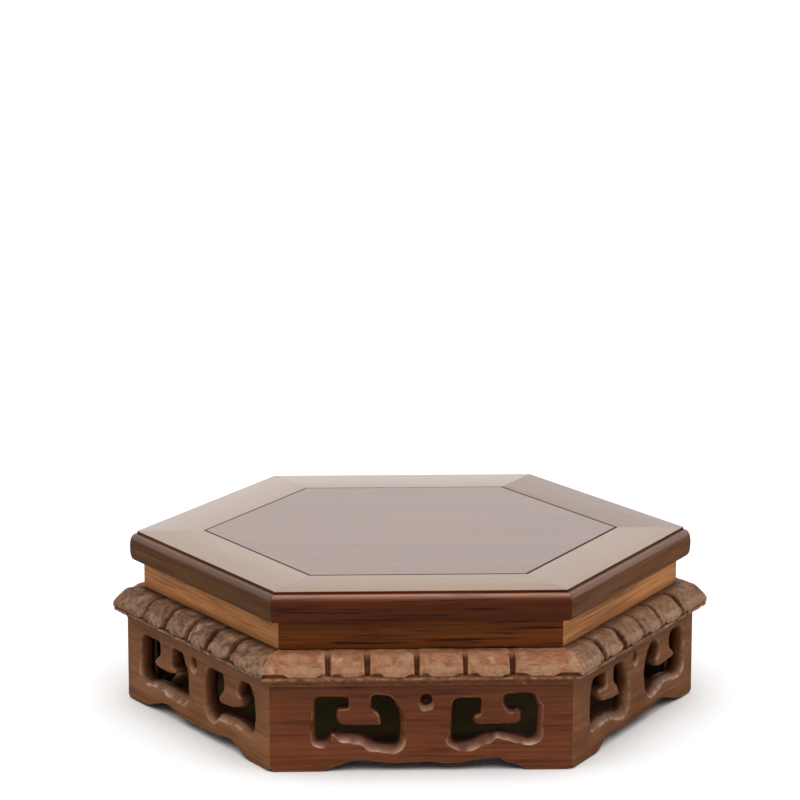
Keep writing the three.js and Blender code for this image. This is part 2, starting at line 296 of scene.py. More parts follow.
def stretched_along(tree, place, given):
    """How far along a point lies once the ends of the bar reach the mitres."""
    sum_of = functools.partial(calc, tree)
    along = sum_of("MULTIPLY", place["X"], given["Half Length"])
    out = sum_of("MULTIPLY", place["Y"], -1.0)
    mitre = sum_of("SUBTRACT", sum_of("MULTIPLY", out, given["Mitre Slope"]), given["Mitre Gap"])
    past = sum_of("MAXIMUM", sum_of("SUBTRACT", sum_of("ABSOLUTE", along), given["Straight Part"]), 0.0)
    room = sum_of("SUBTRACT", given["Half Length"], given["Straight Part"])
    stretch = sum_of("DIVIDE", sum_of("SUBTRACT", mitre, given["Straight Part"]), room)
    extra = sum_of("MULTIPLY", past, sum_of("SUBTRACT", stretch, 1.0))
    return sum_of("ADD", along, sum_of("MULTIPLY", sum_of("SIGN", along), extra))


def bar_tree():
    """Sweeps a section along one side, and stretches its ends to the mitres."""
    tree = bpy.data.node_groups.new("mitred bar", "GeometryNodeTree")
    kinds = {
        "Section": "Geometry", "Half Length": "Float", "Straight Part": "Float", "Mitre Slope": "Float",
        "Mitre Gap": "Float", "Stations": "Int", "Board": "Vector", "Smooth Below": "Float",
        "Wood": "Material",
    }
    for name, kind in kinds.items():
        tree.interface.new_socket(name, in_out="INPUT", socket_type=f"NodeSocket{kind}")
    tree.interface.new_socket("Bar", in_out="OUTPUT", socket_type="NodeSocketGeometry")
    given = add(tree, "NodeGroupInput").outputs
    line = add(tree, "GeometryNodeCurvePrimitiveLine", {"Start": (-1, 0, 0), "End": (1, 0, 0)})
    path = add(tree, "GeometryNodeResampleCurve", {"Curve": line.outputs[0], "Count": given["Stations"]})
    ring = add(tree, "GeometryNodeMeshToCurve", {"Mesh": given["Section"]})
    swept = add(tree, "GeometryNodeCurveToMesh", {
        "Curve": path.outputs[0], "Profile Curve": ring.outputs[0], "Fill Caps": True,
    })
    here = add(tree, "GeometryNodeInputPosition").outputs[0]
    place = add(tree, "ShaderNodeSeparateXYZ", {0: here}).outputs
    spot = add(tree, "ShaderNodeCombineXYZ", {
        "X": stretched_along(tree, place, given), "Y": place["Y"], "Z": place["Z"],
    })
    mitred = add(tree, "GeometryNodeSetPosition", {
        "Geometry": swept.outputs[0], "Position": spot.outputs[0],
    })
    shifted = add(tree, "ShaderNodeVectorMath", {0: here, 1: given["Board"]}, operation="ADD")
    grained = add(tree, "GeometryNodeStoreNamedAttribute", {
        "Geometry": mitred.outputs[0], "Name": "grain", "Value": shifted.outputs[0],
    }, data_type="FLOAT_VECTOR", domain="POINT")
    sharp = add(tree, "FunctionNodeCompare", {
        "A": add(tree, "GeometryNodeInputMeshEdgeAngle").outputs[0], "B": given["Smooth Below"],
    }, operation="GREATER_THAN", data_type="FLOAT")
    shaded = add(tree, "GeometryNodeSetShadeSmooth", {
        "Geometry": grained.outputs[0], "Selection": sharp.outputs[0], "Shade Smooth": False,
    }, domain="EDGE")
    real = add(tree, "GeometryNodeRealizeInstances", {"Geometry": shaded.outputs[0]})
    finished = add(tree, "GeometryNodeSetMaterial", {
        "Geometry": real.outputs[0], "Material": given["Wood"],
    })
    add(tree, "NodeGroupOutput", {"Bar": finished.outputs[0]})
    return tree


mitred_bar = bar_tree()


def swept_bar(name, section, straight, stations, wood):
    """A bar along the front side, from its section: distance from the axis, then height."""
    outline = bpy.data.meshes.new(name)
    ring = [(out, -height, 0) for out, height in section]
    outline.from_pydata(ring, [(at, (at + 1) % len(ring)) for at in range(len(ring))], [])
    piece = bpy.data.objects.new(name, outline)
    scene.collection.objects.link(piece)
    sweep = piece.modifiers.new("mitred bar", "NODES")
    sweep.node_group = mitred_bar
    sizes = {
        "Half Length": max(out for out, _ in section) * mitre_slope,
        "Straight Part": straight,
        "Mitre Slope": mitre_slope,
        "Mitre Gap": mitre_gap,
        "Stations": stations,
        "Board": new_board(),
        "Smooth Below": smooth_below,
        "Wood": wood,
    }
    for socket in mitred_bar.interface.items_tree:
        if socket.name in sizes:
            sweep[socket.identifier] = sizes[socket.name]
    evaluated = piece.evaluated_get(bpy.context.evaluated_depsgraph_get())
    mesh = bpy.data.meshes.new_from_object(evaluated)
    piece.modifiers.remove(sweep)
    piece.data = mesh
    bpy.data.meshes.remove(outline)
    mesh.name = name
    return piece


def new_board():
    """Where this board was cut from the log, so that no two have the same grain."""
    return Vector([board_random.uniform(*log_reach) for _ in range(3)])


def unit(values):
    return np.clip(values, 0, 1)


def corners_of(mesh):
    flat = np.empty(len(mesh.vertices) * 3)
    mesh.vertices.foreach_get("co", flat)
    return flat.reshape(-1, 3)


def set_corners(mesh, points):
    """Moves the points to their new places, but none of them past its mitre."""
    limit = -points[:, 1] * mitre_slope - mitre_gap
    points[:, 0] = np.sign(points[:, 0]) * np.minimum(np.abs(points[:, 0]), limit)
    mesh.vertices.foreach_set("co", points.ravel())
    mesh.update()


def ease_mitre_arris(mesh, reach, depth, inner):
    """Rubs down the outside corner where two bars meet."""
    points = corners_of(mesh)
    out = -points[:, 1]
    share = unit(1 - (out * mitre_slope - np.abs(points[:, 0])) / reach) ** 2
    points[:, 1] += share * unit((out - inner) / mm) * depth
    set_corners(mesh, points)


def mark(mesh, name, values, domain="POINT"):
    """Stores one of the wood's marks at each point or face: its red tone, its wear and painted highlight,
    its stain and painted shade.
    """
    layer = mesh.attributes.new(name, "FLOAT", domain)
    every = np.broadcast_to(np.asarray(values, dtype=float), len(layer.data))
    layer.data.foreach_set("value", np.ascontiguousarray(every))


def fit(piece, side, tone, node):
    """Turns a piece made for the front side to its own side, with its own tone."""
    mark(piece.data, "tone", tone)
    piece.data.transform(Matrix.Rotation(side_names.index(side) * side_angle, 4, "Z"))
    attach(piece, "root")
    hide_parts(node)


# Each pattern in the wood: how closely it repeats along and across the fibres, its detail and
# distortion, and the stretch of its values that shows.
wood_patterns = {
    "bands": (7, 60, 2, 0.3, 0.3, 0.7),
    "fibres": (24, 900, 4, 0.1, 0.28, 0.72),
    "streaks": (34, 900, 3, 0.2, 0.53, 0.68),
    "pores": (190, 3200, 2, 0.0, 0.62, 0.72),
    "blotches": (60, 60, 3, 0.0, 0.3, 0.7),
    "mottles": (360, 420, 3, 0.5, 0.4, 0.68),
    "flecks": (330, 420, 3, 0.5, 0.58, 0.74),
    "spots": (800, 1100, 3, 0.3, 0.58, 0.72),
}

# How strongly each pattern shows in the colour, how dark it is there as a share of the wood's dark
# colour, and how high it stands in the relief.
shown = {
    "bands": 0.4, "fibres": 0.6, "streaks": 0.35, "pores": 0.35,
    "mottles": 0.6, "flecks": 0.5, "spots": 0.8,
}
streaks_in_red = 0.65
darkness = {"streaks": 0.5, "pores": 0.5, "mottles": 0.6, "spots": 0.45}
relief_of = {"fibres": 0.6, "pores": 0.6, "blotches": 1.2, "mottles": 1.5}
# The worn colour also paints highlights, and the stain tint also paints shade.
rubbed_and_highlit_least = 0.55
rubbed_and_highlit_patches = 0.6
stain_and_shade_tint = (0.23, 0.145, 0.10, 1)
gloss_spread = 0.12
coat_roughness = 0.14
fibre_relief = 0.3 * mm


def wood_pattern(tree, grain, along, across, detail, distortion, low, high):
    place = add(tree, "ShaderNodeMapping", {"Vector": grain, "Scale": (along, across, across)})
    texture = add(tree, "ShaderNodeTexNoise", {
        "Vector": place.outputs[0], "Scale": 1.0, "Detail": detail, "Distortion": distortion,
    })
    return ramp(tree, texture.outputs[0], low, high, "LINEAR")


def wood_color(tree, seen, marks, dark, pale, worn_and_highlit, red, figure, specks):
    """Fibres with streaks, pores and specks over them, then the red places, the worn places and painted
    highlights, and the stained places and painted shade.
    """
    sum_of = functools.partial(calc, tree)
    shade = sum_of("ADD", *(sum_of("MULTIPLY", seen[kind], shown[kind]) for kind in ("bands", "fibres")))
    base = color_mix(tree, shade, (*dark, 1), (*pale, 1))
    tone = marks["tone"]
    striking = sum_of("MULTIPLY_ADD", tone, streaks_in_red * figure, shown["streaks"] * figure)
    amounts = {"streaks": striking, "pores": shown["pores"]}
    amounts.update((kind, shown[kind] * specks) for kind in ("mottles", "flecks", "spots"))
    layers = [(kind, sum_of("MULTIPLY", seen[kind], amount)) for kind, amount in amounts.items()]
    for kind, share in layers:
        color = worn_and_highlit if kind == "flecks" else [darkness[kind] * part for part in dark]
        base = color_mix(tree, share, base, (*color, 1))
    reddened = color_mix(tree, 1.0, base, (*red, 1), "MULTIPLY")
    base = color_mix(tree, tone, base, reddened)
    patchy = sum_of("ADD", sum_of("MULTIPLY", seen["blotches"], rubbed_and_highlit_patches), rubbed_and_highlit_least)
    rubbed_and_highlit = add(tree, "ShaderNodeClamp", {"Value": sum_of("MULTIPLY", marks["wear_and_highlight"], patchy)})
    base = color_mix(tree, rubbed_and_highlit.outputs[0], base, (*worn_and_highlit, 1))
    stained_and_shaded = color_mix(tree, 1.0, base, stain_and_shade_tint, "MULTIPLY")
    return color_mix(tree, marks["stain_and_shade"], base, stained_and_shaded)


def wood(name, dark, pale, worn_and_highlit, roughness, lacquer, figure=0.5, red=(1.25, 0.72, 0.52), rough_bump=0.15,
         specks=0.0, shine=0.3):
    """Long fibres with darker streaks and short pores, under a clear finish."""
    material, tree = new_paint(name)
    sum_of = functools.partial(calc, tree)
    grain = add(tree, "ShaderNodeAttribute", attribute_name="grain").outputs["Vector"]
    marks = {
        kind: add(tree, "ShaderNodeAttribute", attribute_name=kind).outputs["Fac"]
        for kind in ("tone", "wear_and_highlight", "stain_and_shade")
    }
    seen = {kind: wood_pattern(tree, grain, *pattern) for kind, pattern in wood_patterns.items()}
    clear = sum_of("MULTIPLY", sum_of("SUBTRACT", 1.0, marks["stain_and_shade"]), lacquer)
    gloss = sum_of("ADD", roughness - gloss_spread / 2, sum_of("MULTIPLY", seen["fibres"], gloss_spread))
    fibres, pores = (sum_of("MULTIPLY", seen[kind], relief_of[kind]) for kind in ("fibres", "pores"))
    relief = sum_of("SUBTRACT", fibres, pores)
    relief = sum_of("ADD", relief, sum_of("MULTIPLY", seen["blotches"], relief_of["blotches"]))
    mottled = relief_of["mottles"] * specks
    relief = sum_of("SUBTRACT", relief, sum_of("MULTIPLY", seen["mottles"], mottled))
    bump = add(tree, "ShaderNodeBump", {
        "Height": relief, "Strength": rough_bump, "Distance": fibre_relief,
    })
    surface = add(tree, "ShaderNodeBsdfPrincipled", {
        "Base Color": wood_color(tree, seen, marks, dark, pale, worn_and_highlit, red, figure, specks),
        "Roughness": gloss,
        "Normal": bump.outputs["Normal"],
        "Coat Weight": clear,
        "Coat Roughness": coat_roughness,
        "Specular IOR Level": shine,
    })
    add(tree, "ShaderNodeOutputMaterial", {"Surface": surface.outputs["BSDF"]})
    return material


def rail_section():
    step_foot = stand_height - rail_step
    near, far = tongue_walls(waist_in, waist_out, tongue_clearance)
    groove_top = rail_foot + tongue_height + tongue_clearance
    panel_groove_out = panel_tongue_out + tongue_clearance
    panel_groove_low = panel_low - tongue_clearance
    panel_groove_high = panel_low + panel_tongue + tongue_clearance
    inner_foot = rail_foot + batten_proud
    arris = rail_arris
    bulge = (rail_out, rail_foot + rail_bulge)
    under_edge = (rail_out - rail_foot_inset, rail_foot)
    return [
        (rail_in, inner_foot), (rail_in, panel_groove_low), (panel_groove_out, panel_groove_low),
        (panel_groove_out, panel_groove_high), (rail_in, panel_groove_high),
        (rail_in, stand_height - eased), (rail_in + eased, stand_height),
        *bend((arris - eased, stand_height), (arris, stand_height), (arris, stand_height - eased), 3),
        *bend((arris, step_foot + eased), (arris, step_foot), (arris + eased, step_foot), 2),
        *bend((arris + rail_step_width, step_foot), (rail_out, step_foot), bulge, rail_round_steps),
        *bend(bulge, (rail_out, rail_foot), under_edge, rail_round_steps)[1:],
        (far, rail_foot), (far, groove_top), (near, groove_top), (near, inner_foot),
    ]


rail_wood = wood(
    "rail_wood", dark=(0.160, 0.072, 0.025), pale=(0.30, 0.155, 0.064),
    worn_and_highlit=(0.55, 0.33, 0.20), roughness=0.38, lacquer=1.0, figure=0.95, rough_bump=0.05, shine=0.2,
)
rail_edge_tones = by_side(0.3, front=1.0, front_left=0.15)
# Down each rail's rounded edge, in millimetres below the step: stain and painted shade, kept light just
# under the step as a painted highlight band, and darkest on the front.
edge_levels = (0.0, 1.2, 2.4, 3.8, 6.0)
rail_edge_stain_and_shade = by_side(
    (0.45, 0.52, 0.6, 0.6, 0.5),
    front=(0.1, 0.6, 0.92, 0.92, 0.92),
    front_left=(0.68, 0.7, 0.86, 0.8, 0.62),
    front_right=(0.6, 0.58, 0.54, 0.5, 0.4),
)
# The back right rail's top is duller and painted darker, as a painted dimmer reflection.
dull_polish_and_shade = by_side(0.0, back_right=0.4)

for side in side_names:
    rail = swept_bar(f"rail_{side}", rail_section(), 0.0, rail_stations, rail_wood)
    ease_mitre_arris(rail.data, *rail_corner, rail_arris)
    spots = corners_of(rail.data)
    out = -spots[:, 1]
    below_face = spots[:, 2] < stand_height - eased / 2
    edge = (out > rail_arris - eased / 2) & below_face
    gap = (out < rail_in + eased / 2) & below_face
    step = edge & (out < rail_arris + rail_step_width / 2)
    down = (stand_height - rail_step - spots[:, 2]) / mm
    stain_and_shade = np.where(edge, np.interp(down, edge_levels, rail_edge_stain_and_shade[side]), dull_polish_and_shade[side])
    # The step under the top's edge and the gap round the panel are painted almost black, as painted shade.
    mark(rail.data, "stain_and_shade", np.where(step | gap, gap_shade, stain_and_shade))
    fit(rail, side, rail_edge_tones[side] * edge, f"top_rail_{side}")


# Panel
# One wide board, flush with the frame. It floats in the rails' grooves on a rebated tongue,
# a little off centre, so that the line round it is wider on one side than on the other.
panel_shift = Vector((-0.00014, 0.00008, 0))
panel_eased = 0.45 * mm
same_place = 0.001 * mm
same_level = 0.01 * mm
same_plane = math.radians(0.5)
lying_flat = 0.98
panel_wood = wood(
    "panel_wood", dark=(0.100, 0.036, 0.014), pale=(0.19, 0.073, 0.029),
    worn_and_highlit=(0.5, 0.3, 0.18), roughness=0.36, lacquer=0.85, figure=0.6, rough_bump=0.05, shine=0.2,
)


def panel_mesh():
    """The CAD panel's own shape as one closed mesh, with its upper rim rubbed round."""
    shape = bmesh.new()
    shape.from_mesh(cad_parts["top_panel"].data)
    bmesh.ops.remove_doubles(shape, verts=shape.verts, dist=same_place)
    bmesh.ops.dissolve_limit(shape, angle_limit=same_plane, verts=shape.verts, edges=shape.edges)
    rim = [
        edge for edge in shape.edges
        if all(corner.co.z > stand_height - same_level for corner in edge.verts)
        and edge.calc_face_angle(0) > side_angle
    ]
    bmesh.ops.bevel(shape, geom=rim, offset=panel_eased, segments=2, affect="EDGES", profile=0.5)
    bmesh.ops.translate(shape, verts=shape.verts, vec=panel_shift)
    mesh = bpy.data.meshes.new("panel")
    shape.to_mesh(mesh)
    shape.free()
    return mesh


def grain_from_place(mesh):
    layer = mesh.attributes.new("grain", "FLOAT_VECTOR", "POINT")
    layer.data.foreach_set("vector", (corners_of(mesh) + np.array(new_board())).ravel())


panel = bpy.data.objects.new("panel", panel_mesh())
panel.data.materials.append(panel_wood)
grain_from_place(panel.data)
# The panel's rim below its rounded edge is painted dark, as painted shade in the gap round it.
rim_faces = [
    face.normal.z < lying_flat or face.center.z < stand_height - panel_eased
    for face in panel.data.polygons
]
mark(panel.data, "stain_and_shade", gap_shade * np.array(rim_faces), "FACE")
scene.collection.objects.link(panel)
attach(panel, "root")
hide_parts("top_panel")


# Waist
# Six plain boards stand between the frame and the moulding, with a tongue into each.
shoulder_gap = 0.1 * mm
waist_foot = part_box("tile_moulding_front")[1].z + shoulder_gap
waist_top = rail_foot - shoulder_gap
waist_eased = 0.2 * mm
waist_stations = 40
waist_corner = (0.5 * mm, 0.12 * mm, waist_out - 1.2 * mm)
# Painted shade: the front board is painted much darker, as the shadow under the rail's overhang, and the
# other sides a little darker or lighter by side; each board is painted darker at its foot.
waist_tones_and_shade = by_side(0.4, front=1.0, front_right=0.1, front_left=0.3)
waist_shade = by_side((0.1, 0.4), front_right=(0.2, 0.5))
waist_shade_rise = 1.5 * mm
waist_shade_levels = (0, waist_shade_rise, 2 * waist_shade_rise)
waist_wood = wood(
    "waist_wood", dark=(0.34, 0.132, 0.042), pale=(0.92, 0.400, 0.143), worn_and_highlit=(0.6, 0.38, 0.22),
    roughness=0.5, lacquer=0.0, figure=1.1, red=(0.265, 0.155, 0.058), shine=0.15,
)


def waist_section():
    near, far = tongue_walls(waist_in, waist_out)
    eased_out = waist_out - waist_eased
    return [
        (waist_in, waist_foot), (waist_in, waist_top), (near, waist_top), (near, waist_high.z),
        (far, waist_high.z), (far, waist_top), (eased_out, waist_top), (waist_out, waist_top - waist_eased),
        (waist_out, waist_foot + 2 * waist_shade_rise), (waist_out, waist_foot + waist_shade_rise),
        (waist_out, waist_foot + waist_eased), (eased_out, waist_foot), (far, waist_foot),
        (far, waist_low.z), (near, waist_low.z), (near, waist_foot),
    ]


for side in side_names:
    board = swept_bar(f"waist_{side}", waist_section(), 0.0, waist_stations, waist_wood)
    ease_mitre_arris(board.data, *waist_corner)
    heights = corners_of(board.data)[:, 2] - waist_foot
    above, below = waist_shade[side]
    mark(board.data, "stain_and_shade", np.interp(heights, waist_shade_levels, (below, above, 0)))
    fit(board, side, waist_tones_and_shade[side], f"waist_board_{side}")


# Tile moulding
# Six mitred lengths, each carved by hand as a row of roof tiles over a bead and a cove. Channels
# part the tiles, and the lower edge is cut away to an arch at each of them.
moulding_low, moulding_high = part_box("tile_moulding_front")
moulding_foot = moulding_low.z
moulding_top = moulding_high.z
lip_out = -moulding_low.y
moulding_in = -moulding_high.y
tile_top_out = lip_out - 5 * mm
tile_foot = moulding_top - 5.8 * mm
tile_round = 2.4 * mm
tile_face_start = 0.65 * tile_round
lip_round = 1.3 * mm
lip_drops = (0.8 * mm, 1.1 * mm, 1.5 * mm, 1.9 * mm)
bead_top = tile_foot - 2.5 * mm
bead_out = lip_out - 0.4 * mm
bead_height = 1.4 * mm
cove_out = lip_out - 5 * mm
under_out = cove_out + 3 * mm
shelf_width = tile_top_out - waist_out
apron_out = -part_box("apron_front")[0].y
apron_in = -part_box("apron_front")[1].y
moulding_stations = 401
moulding_straight = 46 * mm
moulding_corner = (0.7 * mm, 0.2 * mm)
moulding_half = lip_out * mitre_slope
shelf_rows = 6
arris_steps = 6
face_rows = 8
lip_steps = 5
bead_steps = 3
cove_steps = 8
carving_seed = 13.7
tile_seed = 40
stations = np.linspace(-moulding_half, moulding_half, moulding_stations)[:, None]
to_corner = moulding_half - np.abs(stations)
corner_fade = unit(to_corner / (2 * mm))
usual_channel_half = 0.9 * mm
channel_halves = by_side(
    usual_channel_half, front=0.8 * mm, front_right=0.95 * mm, front_left=1.35 * mm,
)
channel_depth = 1.9 * mm
channel_start = by_side(0.6, front=0.1)
channel_starts_at = shelf_width - 1.6 * mm
channel_deepens_over = 2.2 * mm
steep_wall = 0.15 * mm
uncut_below = 0.05
sloping_wall = 0.8 * mm
tile_ease_reach = 2.2 * mm
tile_ease = by_side(0.4 * mm, front=0.3 * mm, front_right=0.12 * mm, front_left=0.35 * mm)
tile_cuts = {
    "front": (-36.2, -21.0, -2.2, 16.5, 34.3),
    "front_left": (-36.0, -19.0, -0.3, 17.0, 33.8),
    "front_right": (-38.5, -20.0, 0.0, 16.5, 36.5),
}
usual_cuts = (-36.0, -18.0, 0.0, 18.0, 36.0)

# Beside each channel stand two arches: how far away, half their width and their height.
tile_arches = ((3.6 * mm, 3.3 * mm, 1.0), (-1.7 * mm, 2.7 * mm, 0.6))
arch_fullness = 1.3
arch_heights = by_side(0.8, front=1.0)
straight_edge = 10.5 * mm
straight_edge_start = 3 * mm
straight_edge_height = 0.9
recess_depths = by_side(0.7 * mm, front=1.9 * mm)
recess_least = 0.6
recess_behind = 0.3 * mm

# The cut edge of the tiles' lip. Its gap over the bead and its wobble are in millimetres.
lip_edge_gap = 0.02
lip_edge_wobble = 0.16
lip_wobble_size = 2.5 * mm
lip_edge_low = 0.55 * mm
lip_start = 0.05 * mm
lip_first_row = 0.1
lip_least_height = 0.15 * mm

# The limits between which each cut of the chisel varies.
cut_drift = (-0.8, 0.8)
arch_sizes = (0.75, 1.15)
channel_sizes = (0.8, 1.1)
wall_sizes = (0.3, 1.2)
channel_depths = (0.8, 1.0)
leaning_right = 0.7
facets_per_tile = 6
facet_spreads = ((-0.11, 0.11), (-0.14, 0.14), (-7, 7), (-2, 3))
facet_middle = 8 * mm
facet_rise = 0.3 * mm
facet_lowest = -0.8 * mm
facet_highest = 0.35 * mm
shelf_cuts = 0.25

# Layers of unevenness: the height, the size of the lumps and the seed.
tile_roughness = ((0.2 * mm, 1.9 * mm, 0), (0.1 * mm, 0.8 * mm, 5))
bead_bumps = ((0.7, 2.4 * mm, 9), (0.5, 1.1 * mm, 15))
bead_roughness = by_side(0.55 * mm, front=0.2 * mm)
bead_sunk = 0.2

# Patches of wear, painted highlight and stain: their level and contrast, their size and the seed.
bead_wear_and_highlight_patches = (0.35, 1.8, 3.5 * mm, 3)
glow_patches = (0.1, 1.8, 4.3 * mm, 47)
tile_patches = (0.15, 1.6, 1.7 * mm, 31)
bead_patches = (0.4, 1.4, 2.2 * mm, 21)

# The wear and stain on each part, from 0 to 1. Two values are the least, and what a patch adds.
# The wear on the lip, beside the channels and on the bead's crest also paints highlights there, and
# the channels, the tile edges beside them, the shelf under the waist, the recess under the lip, the
# bead's foot and the cove are painted darker as painted shade.
lip_wear_and_highlight = 0.35
lip_arris_wear_and_highlight = 0.4
lip_arris_rows = 6
channel_edge_wear_and_highlight = 0.6
corner_wear = 0.4
corner_wear_reach = 1.2 * mm
channel_shade_gain = 2.2
channel_shade_least = 0.1
rim_shade_spread = 0.7
shelf_shade_fade = (1.4, 1.5)
under_shade_on_bead = 0.9
bead_wear_and_highlight = 0.65
bead_crest_rows = (2, 4)
tile_shade = by_side((0.05, 0.3), front=(0.07, 0.2), front_right=(0.08, 0.35), front_left=(0.33, 0.45))
tile_glow = by_side(0.4, front=0.45, front_right=0.35, front_left=0.65)
rim_shade = by_side(0.4, front=0.1, front_left=0.85)
shelf_shade = by_side(0.5, front=0.0, front_right=0.55, front_left=0.85)
under_shade = by_side(0.8, front=0.5)
bead_shade = by_side((0.12, 0.4), front=(0.28, 0.5))
bead_foot_shade = 0.5
cove_shade = by_side(0.3, front=0.75)
moulding_tones = by_side(0.3, front=1.0, front_right=0.1, front_left=0.0)
moulding_wood = wood(
    "moulding_wood", dark=(0.19, 0.095, 0.050), pale=(0.30, 0.168, 0.097),
    worn_and_highlit=(0.545, 0.35, 0.228), roughness=0.6, lacquer=0.0, figure=0.25,
    red=(1.62, 1.31, 1.13), rough_bump=0.5, specks=0.8, shine=0.08,
)


def moulding_section():
    """The rows of the section in groups, so that the carver knows which is which."""
    waist_near, waist_far = tongue_walls(waist_in, waist_out, tongue_clearance)
    apron_near, apron_far = tongue_walls(apron_in, apron_out, tongue_clearance)
    groove = tongue_height + tongue_clearance
    slope = (tile_foot - moulding_top) / (lip_out - tile_top_out)
    shelf_end = (tile_top_out - tile_round, moulding_top)
    face_start = (tile_top_out + tile_face_start, moulding_top + tile_face_start * slope)
    face_end = (lip_out - lip_round, tile_foot - lip_round * slope)
    lip = [(lip_out, tile_foot - drop) for drop in lip_drops]
    bead_foot = bead_top - bead_height
    bead_end = (bead_out - 0.7 * mm, bead_foot)

    def on_bead(out, down):
        return bead_out + out * mm, bead_top - down * mm

    groups = {
        "inner": [
            (moulding_in, moulding_foot), (moulding_in, moulding_top), (waist_near, moulding_top),
            (waist_near, moulding_top - groove), (waist_far, moulding_top - groove),
        ],
        "shelf": [(out, moulding_top) for out in np.linspace(waist_far, shelf_end[0], shelf_rows)],
        "arris": bend(shelf_end, (tile_top_out, moulding_top), face_start, arris_steps)[1:],
        "face": [
            *map(tuple, np.linspace(face_start, face_end, face_rows)[1:]),
            *bend(face_end, (lip_out, tile_foot), lip[0], lip_steps)[1:],
        ],
        "lip": [*lip[1:], (lip_out - 0.3 * mm, bead_top)],
        "under": [(under_out, bead_top), (under_out, bead_top)],
        "bead": [
            on_bead(-0.5, 0.05),
            *bend(on_bead(-0.3, 0.1), on_bead(0.2, 0.2), on_bead(0.1, 0.7), bead_steps)[1:],
            *bend(on_bead(0.1, 0.7), (bead_out, bead_foot), bead_end, bead_steps)[1:],
            (bead_out - 1.0 * mm, bead_foot - 0.05 * mm),
        ],
        "cove": bend(
            (bead_out - 1.2 * mm, bead_foot - 0.3 * mm), (cove_out, bead_foot),
            (cove_out, moulding_foot + 0.3 * mm), cove_steps,
        ),
        "base": [
            (cove_out - 0.2 * mm, moulding_foot), (apron_far, moulding_foot),
            (apron_far, moulding_foot + groove), (apron_near, moulding_foot + groove),
            (apron_near, moulding_foot),
        ],
    }
    rows = {}
    points = []
    for group, stretch in groups.items():
        rows[group] = slice(len(points), len(points) + len(stretch))
        points += stretch
    return points, rows


def channel_cuts(side, tile_random):
    """Where each channel is cut, how its walls lean, and the size of the arches beside it."""
    return [{
        "at": value * mm + (0 if side in tile_cuts else tile_random.uniform(*cut_drift) * mm),
        "arches": [tile_random.uniform(*arch_sizes) for _ in tile_arches],
        "leaning": 1 if tile_random.random() < leaning_right else -1,
        "half": channel_halves[side] * tile_random.uniform(*channel_sizes),
        "slope": sloping_wall * tile_random.uniform(*wall_sizes),
    } for value in tile_cuts.get(side, usual_cuts)]


def channel(cut):
    """Depth of one channel between two tiles: one wall is steep and the other slopes."""
    away = (stations - cut["at"]) * cut["leaning"]
    steep = (away + cut["half"]) / steep_wall
    sloping = (cut["half"] + cut["slope"] - away) / cut["slope"]
    return unit(np.minimum(steep, sloping))


def at_least(least, share):
    """Rises from its least value to 1 with the share."""
    return least + (1 - least) * share


def eased_edges(cuts):
    """How near the tile's surface is to a channel, from 0 to 1."""
    nearest = np.abs(stations - np.array([cut["at"] for cut in cuts])).min(axis=1)[:, None]
    return unit(1 - (nearest - usual_channel_half) / tile_ease_reach) ** 2


def arch_edge(cuts, side):
    """How high the lower edge of the tiles stands above the bead."""
    high = np.zeros_like(stations)
    for cut in cuts:
        for (away, half, height), size in zip(tile_arches, cut["arches"]):
            share = unit(1 - np.abs(stations - cut["at"] - away) / (half * size))
            arch = np.sin(share * math.pi / 2) ** arch_fullness
            high = np.maximum(high, height * min(size, 1) * arch)
    high *= arch_heights[side]
    if side == "front":
        near_end = unit((straight_edge - to_corner) / straight_edge_start)
        high = np.maximum(high, straight_edge_height * near_end)
    return high


def facets(along, down, tile_random):
    """Flat cuts of the chisel across one tile."""
    surface = facet_highest
    for _ in range(facets_per_tile):
        lean_along, lean_down, centre, low = (tile_random.uniform(*spread) for spread in facet_spreads)
        plane = lean_along * (along - centre * mm) + lean_down * (down - low * mm) + facet_rise
        surface = np.minimum(surface, plane)
    return np.maximum(surface, facet_lowest)


def rough(points, size, shift):
    """Uneven heights over a grid of points."""
    seed = Vector((shift, 2 * shift, 0))
    return np.array([[noise.noise(Vector(point) / size + seed) for point in line] for line in points])


def rough_layers(points, layers, shift):
    return sum(height * rough(points, size, shift + seed) for height, size, seed in layers)


def rough_along(size, shift):
    """Uneven heights along the whole moulding."""
    return rough(stations[None] / size * (1, 0, 0), 1.0, shift)[0][:, None]


def patches(points, shift, level, contrast, size, seed):
    return unit(level + contrast * rough(points, size, shift + seed))


section, rows = moulding_section()
tile_rows = slice(rows["shelf"].start + 1, rows["lip"].stop)


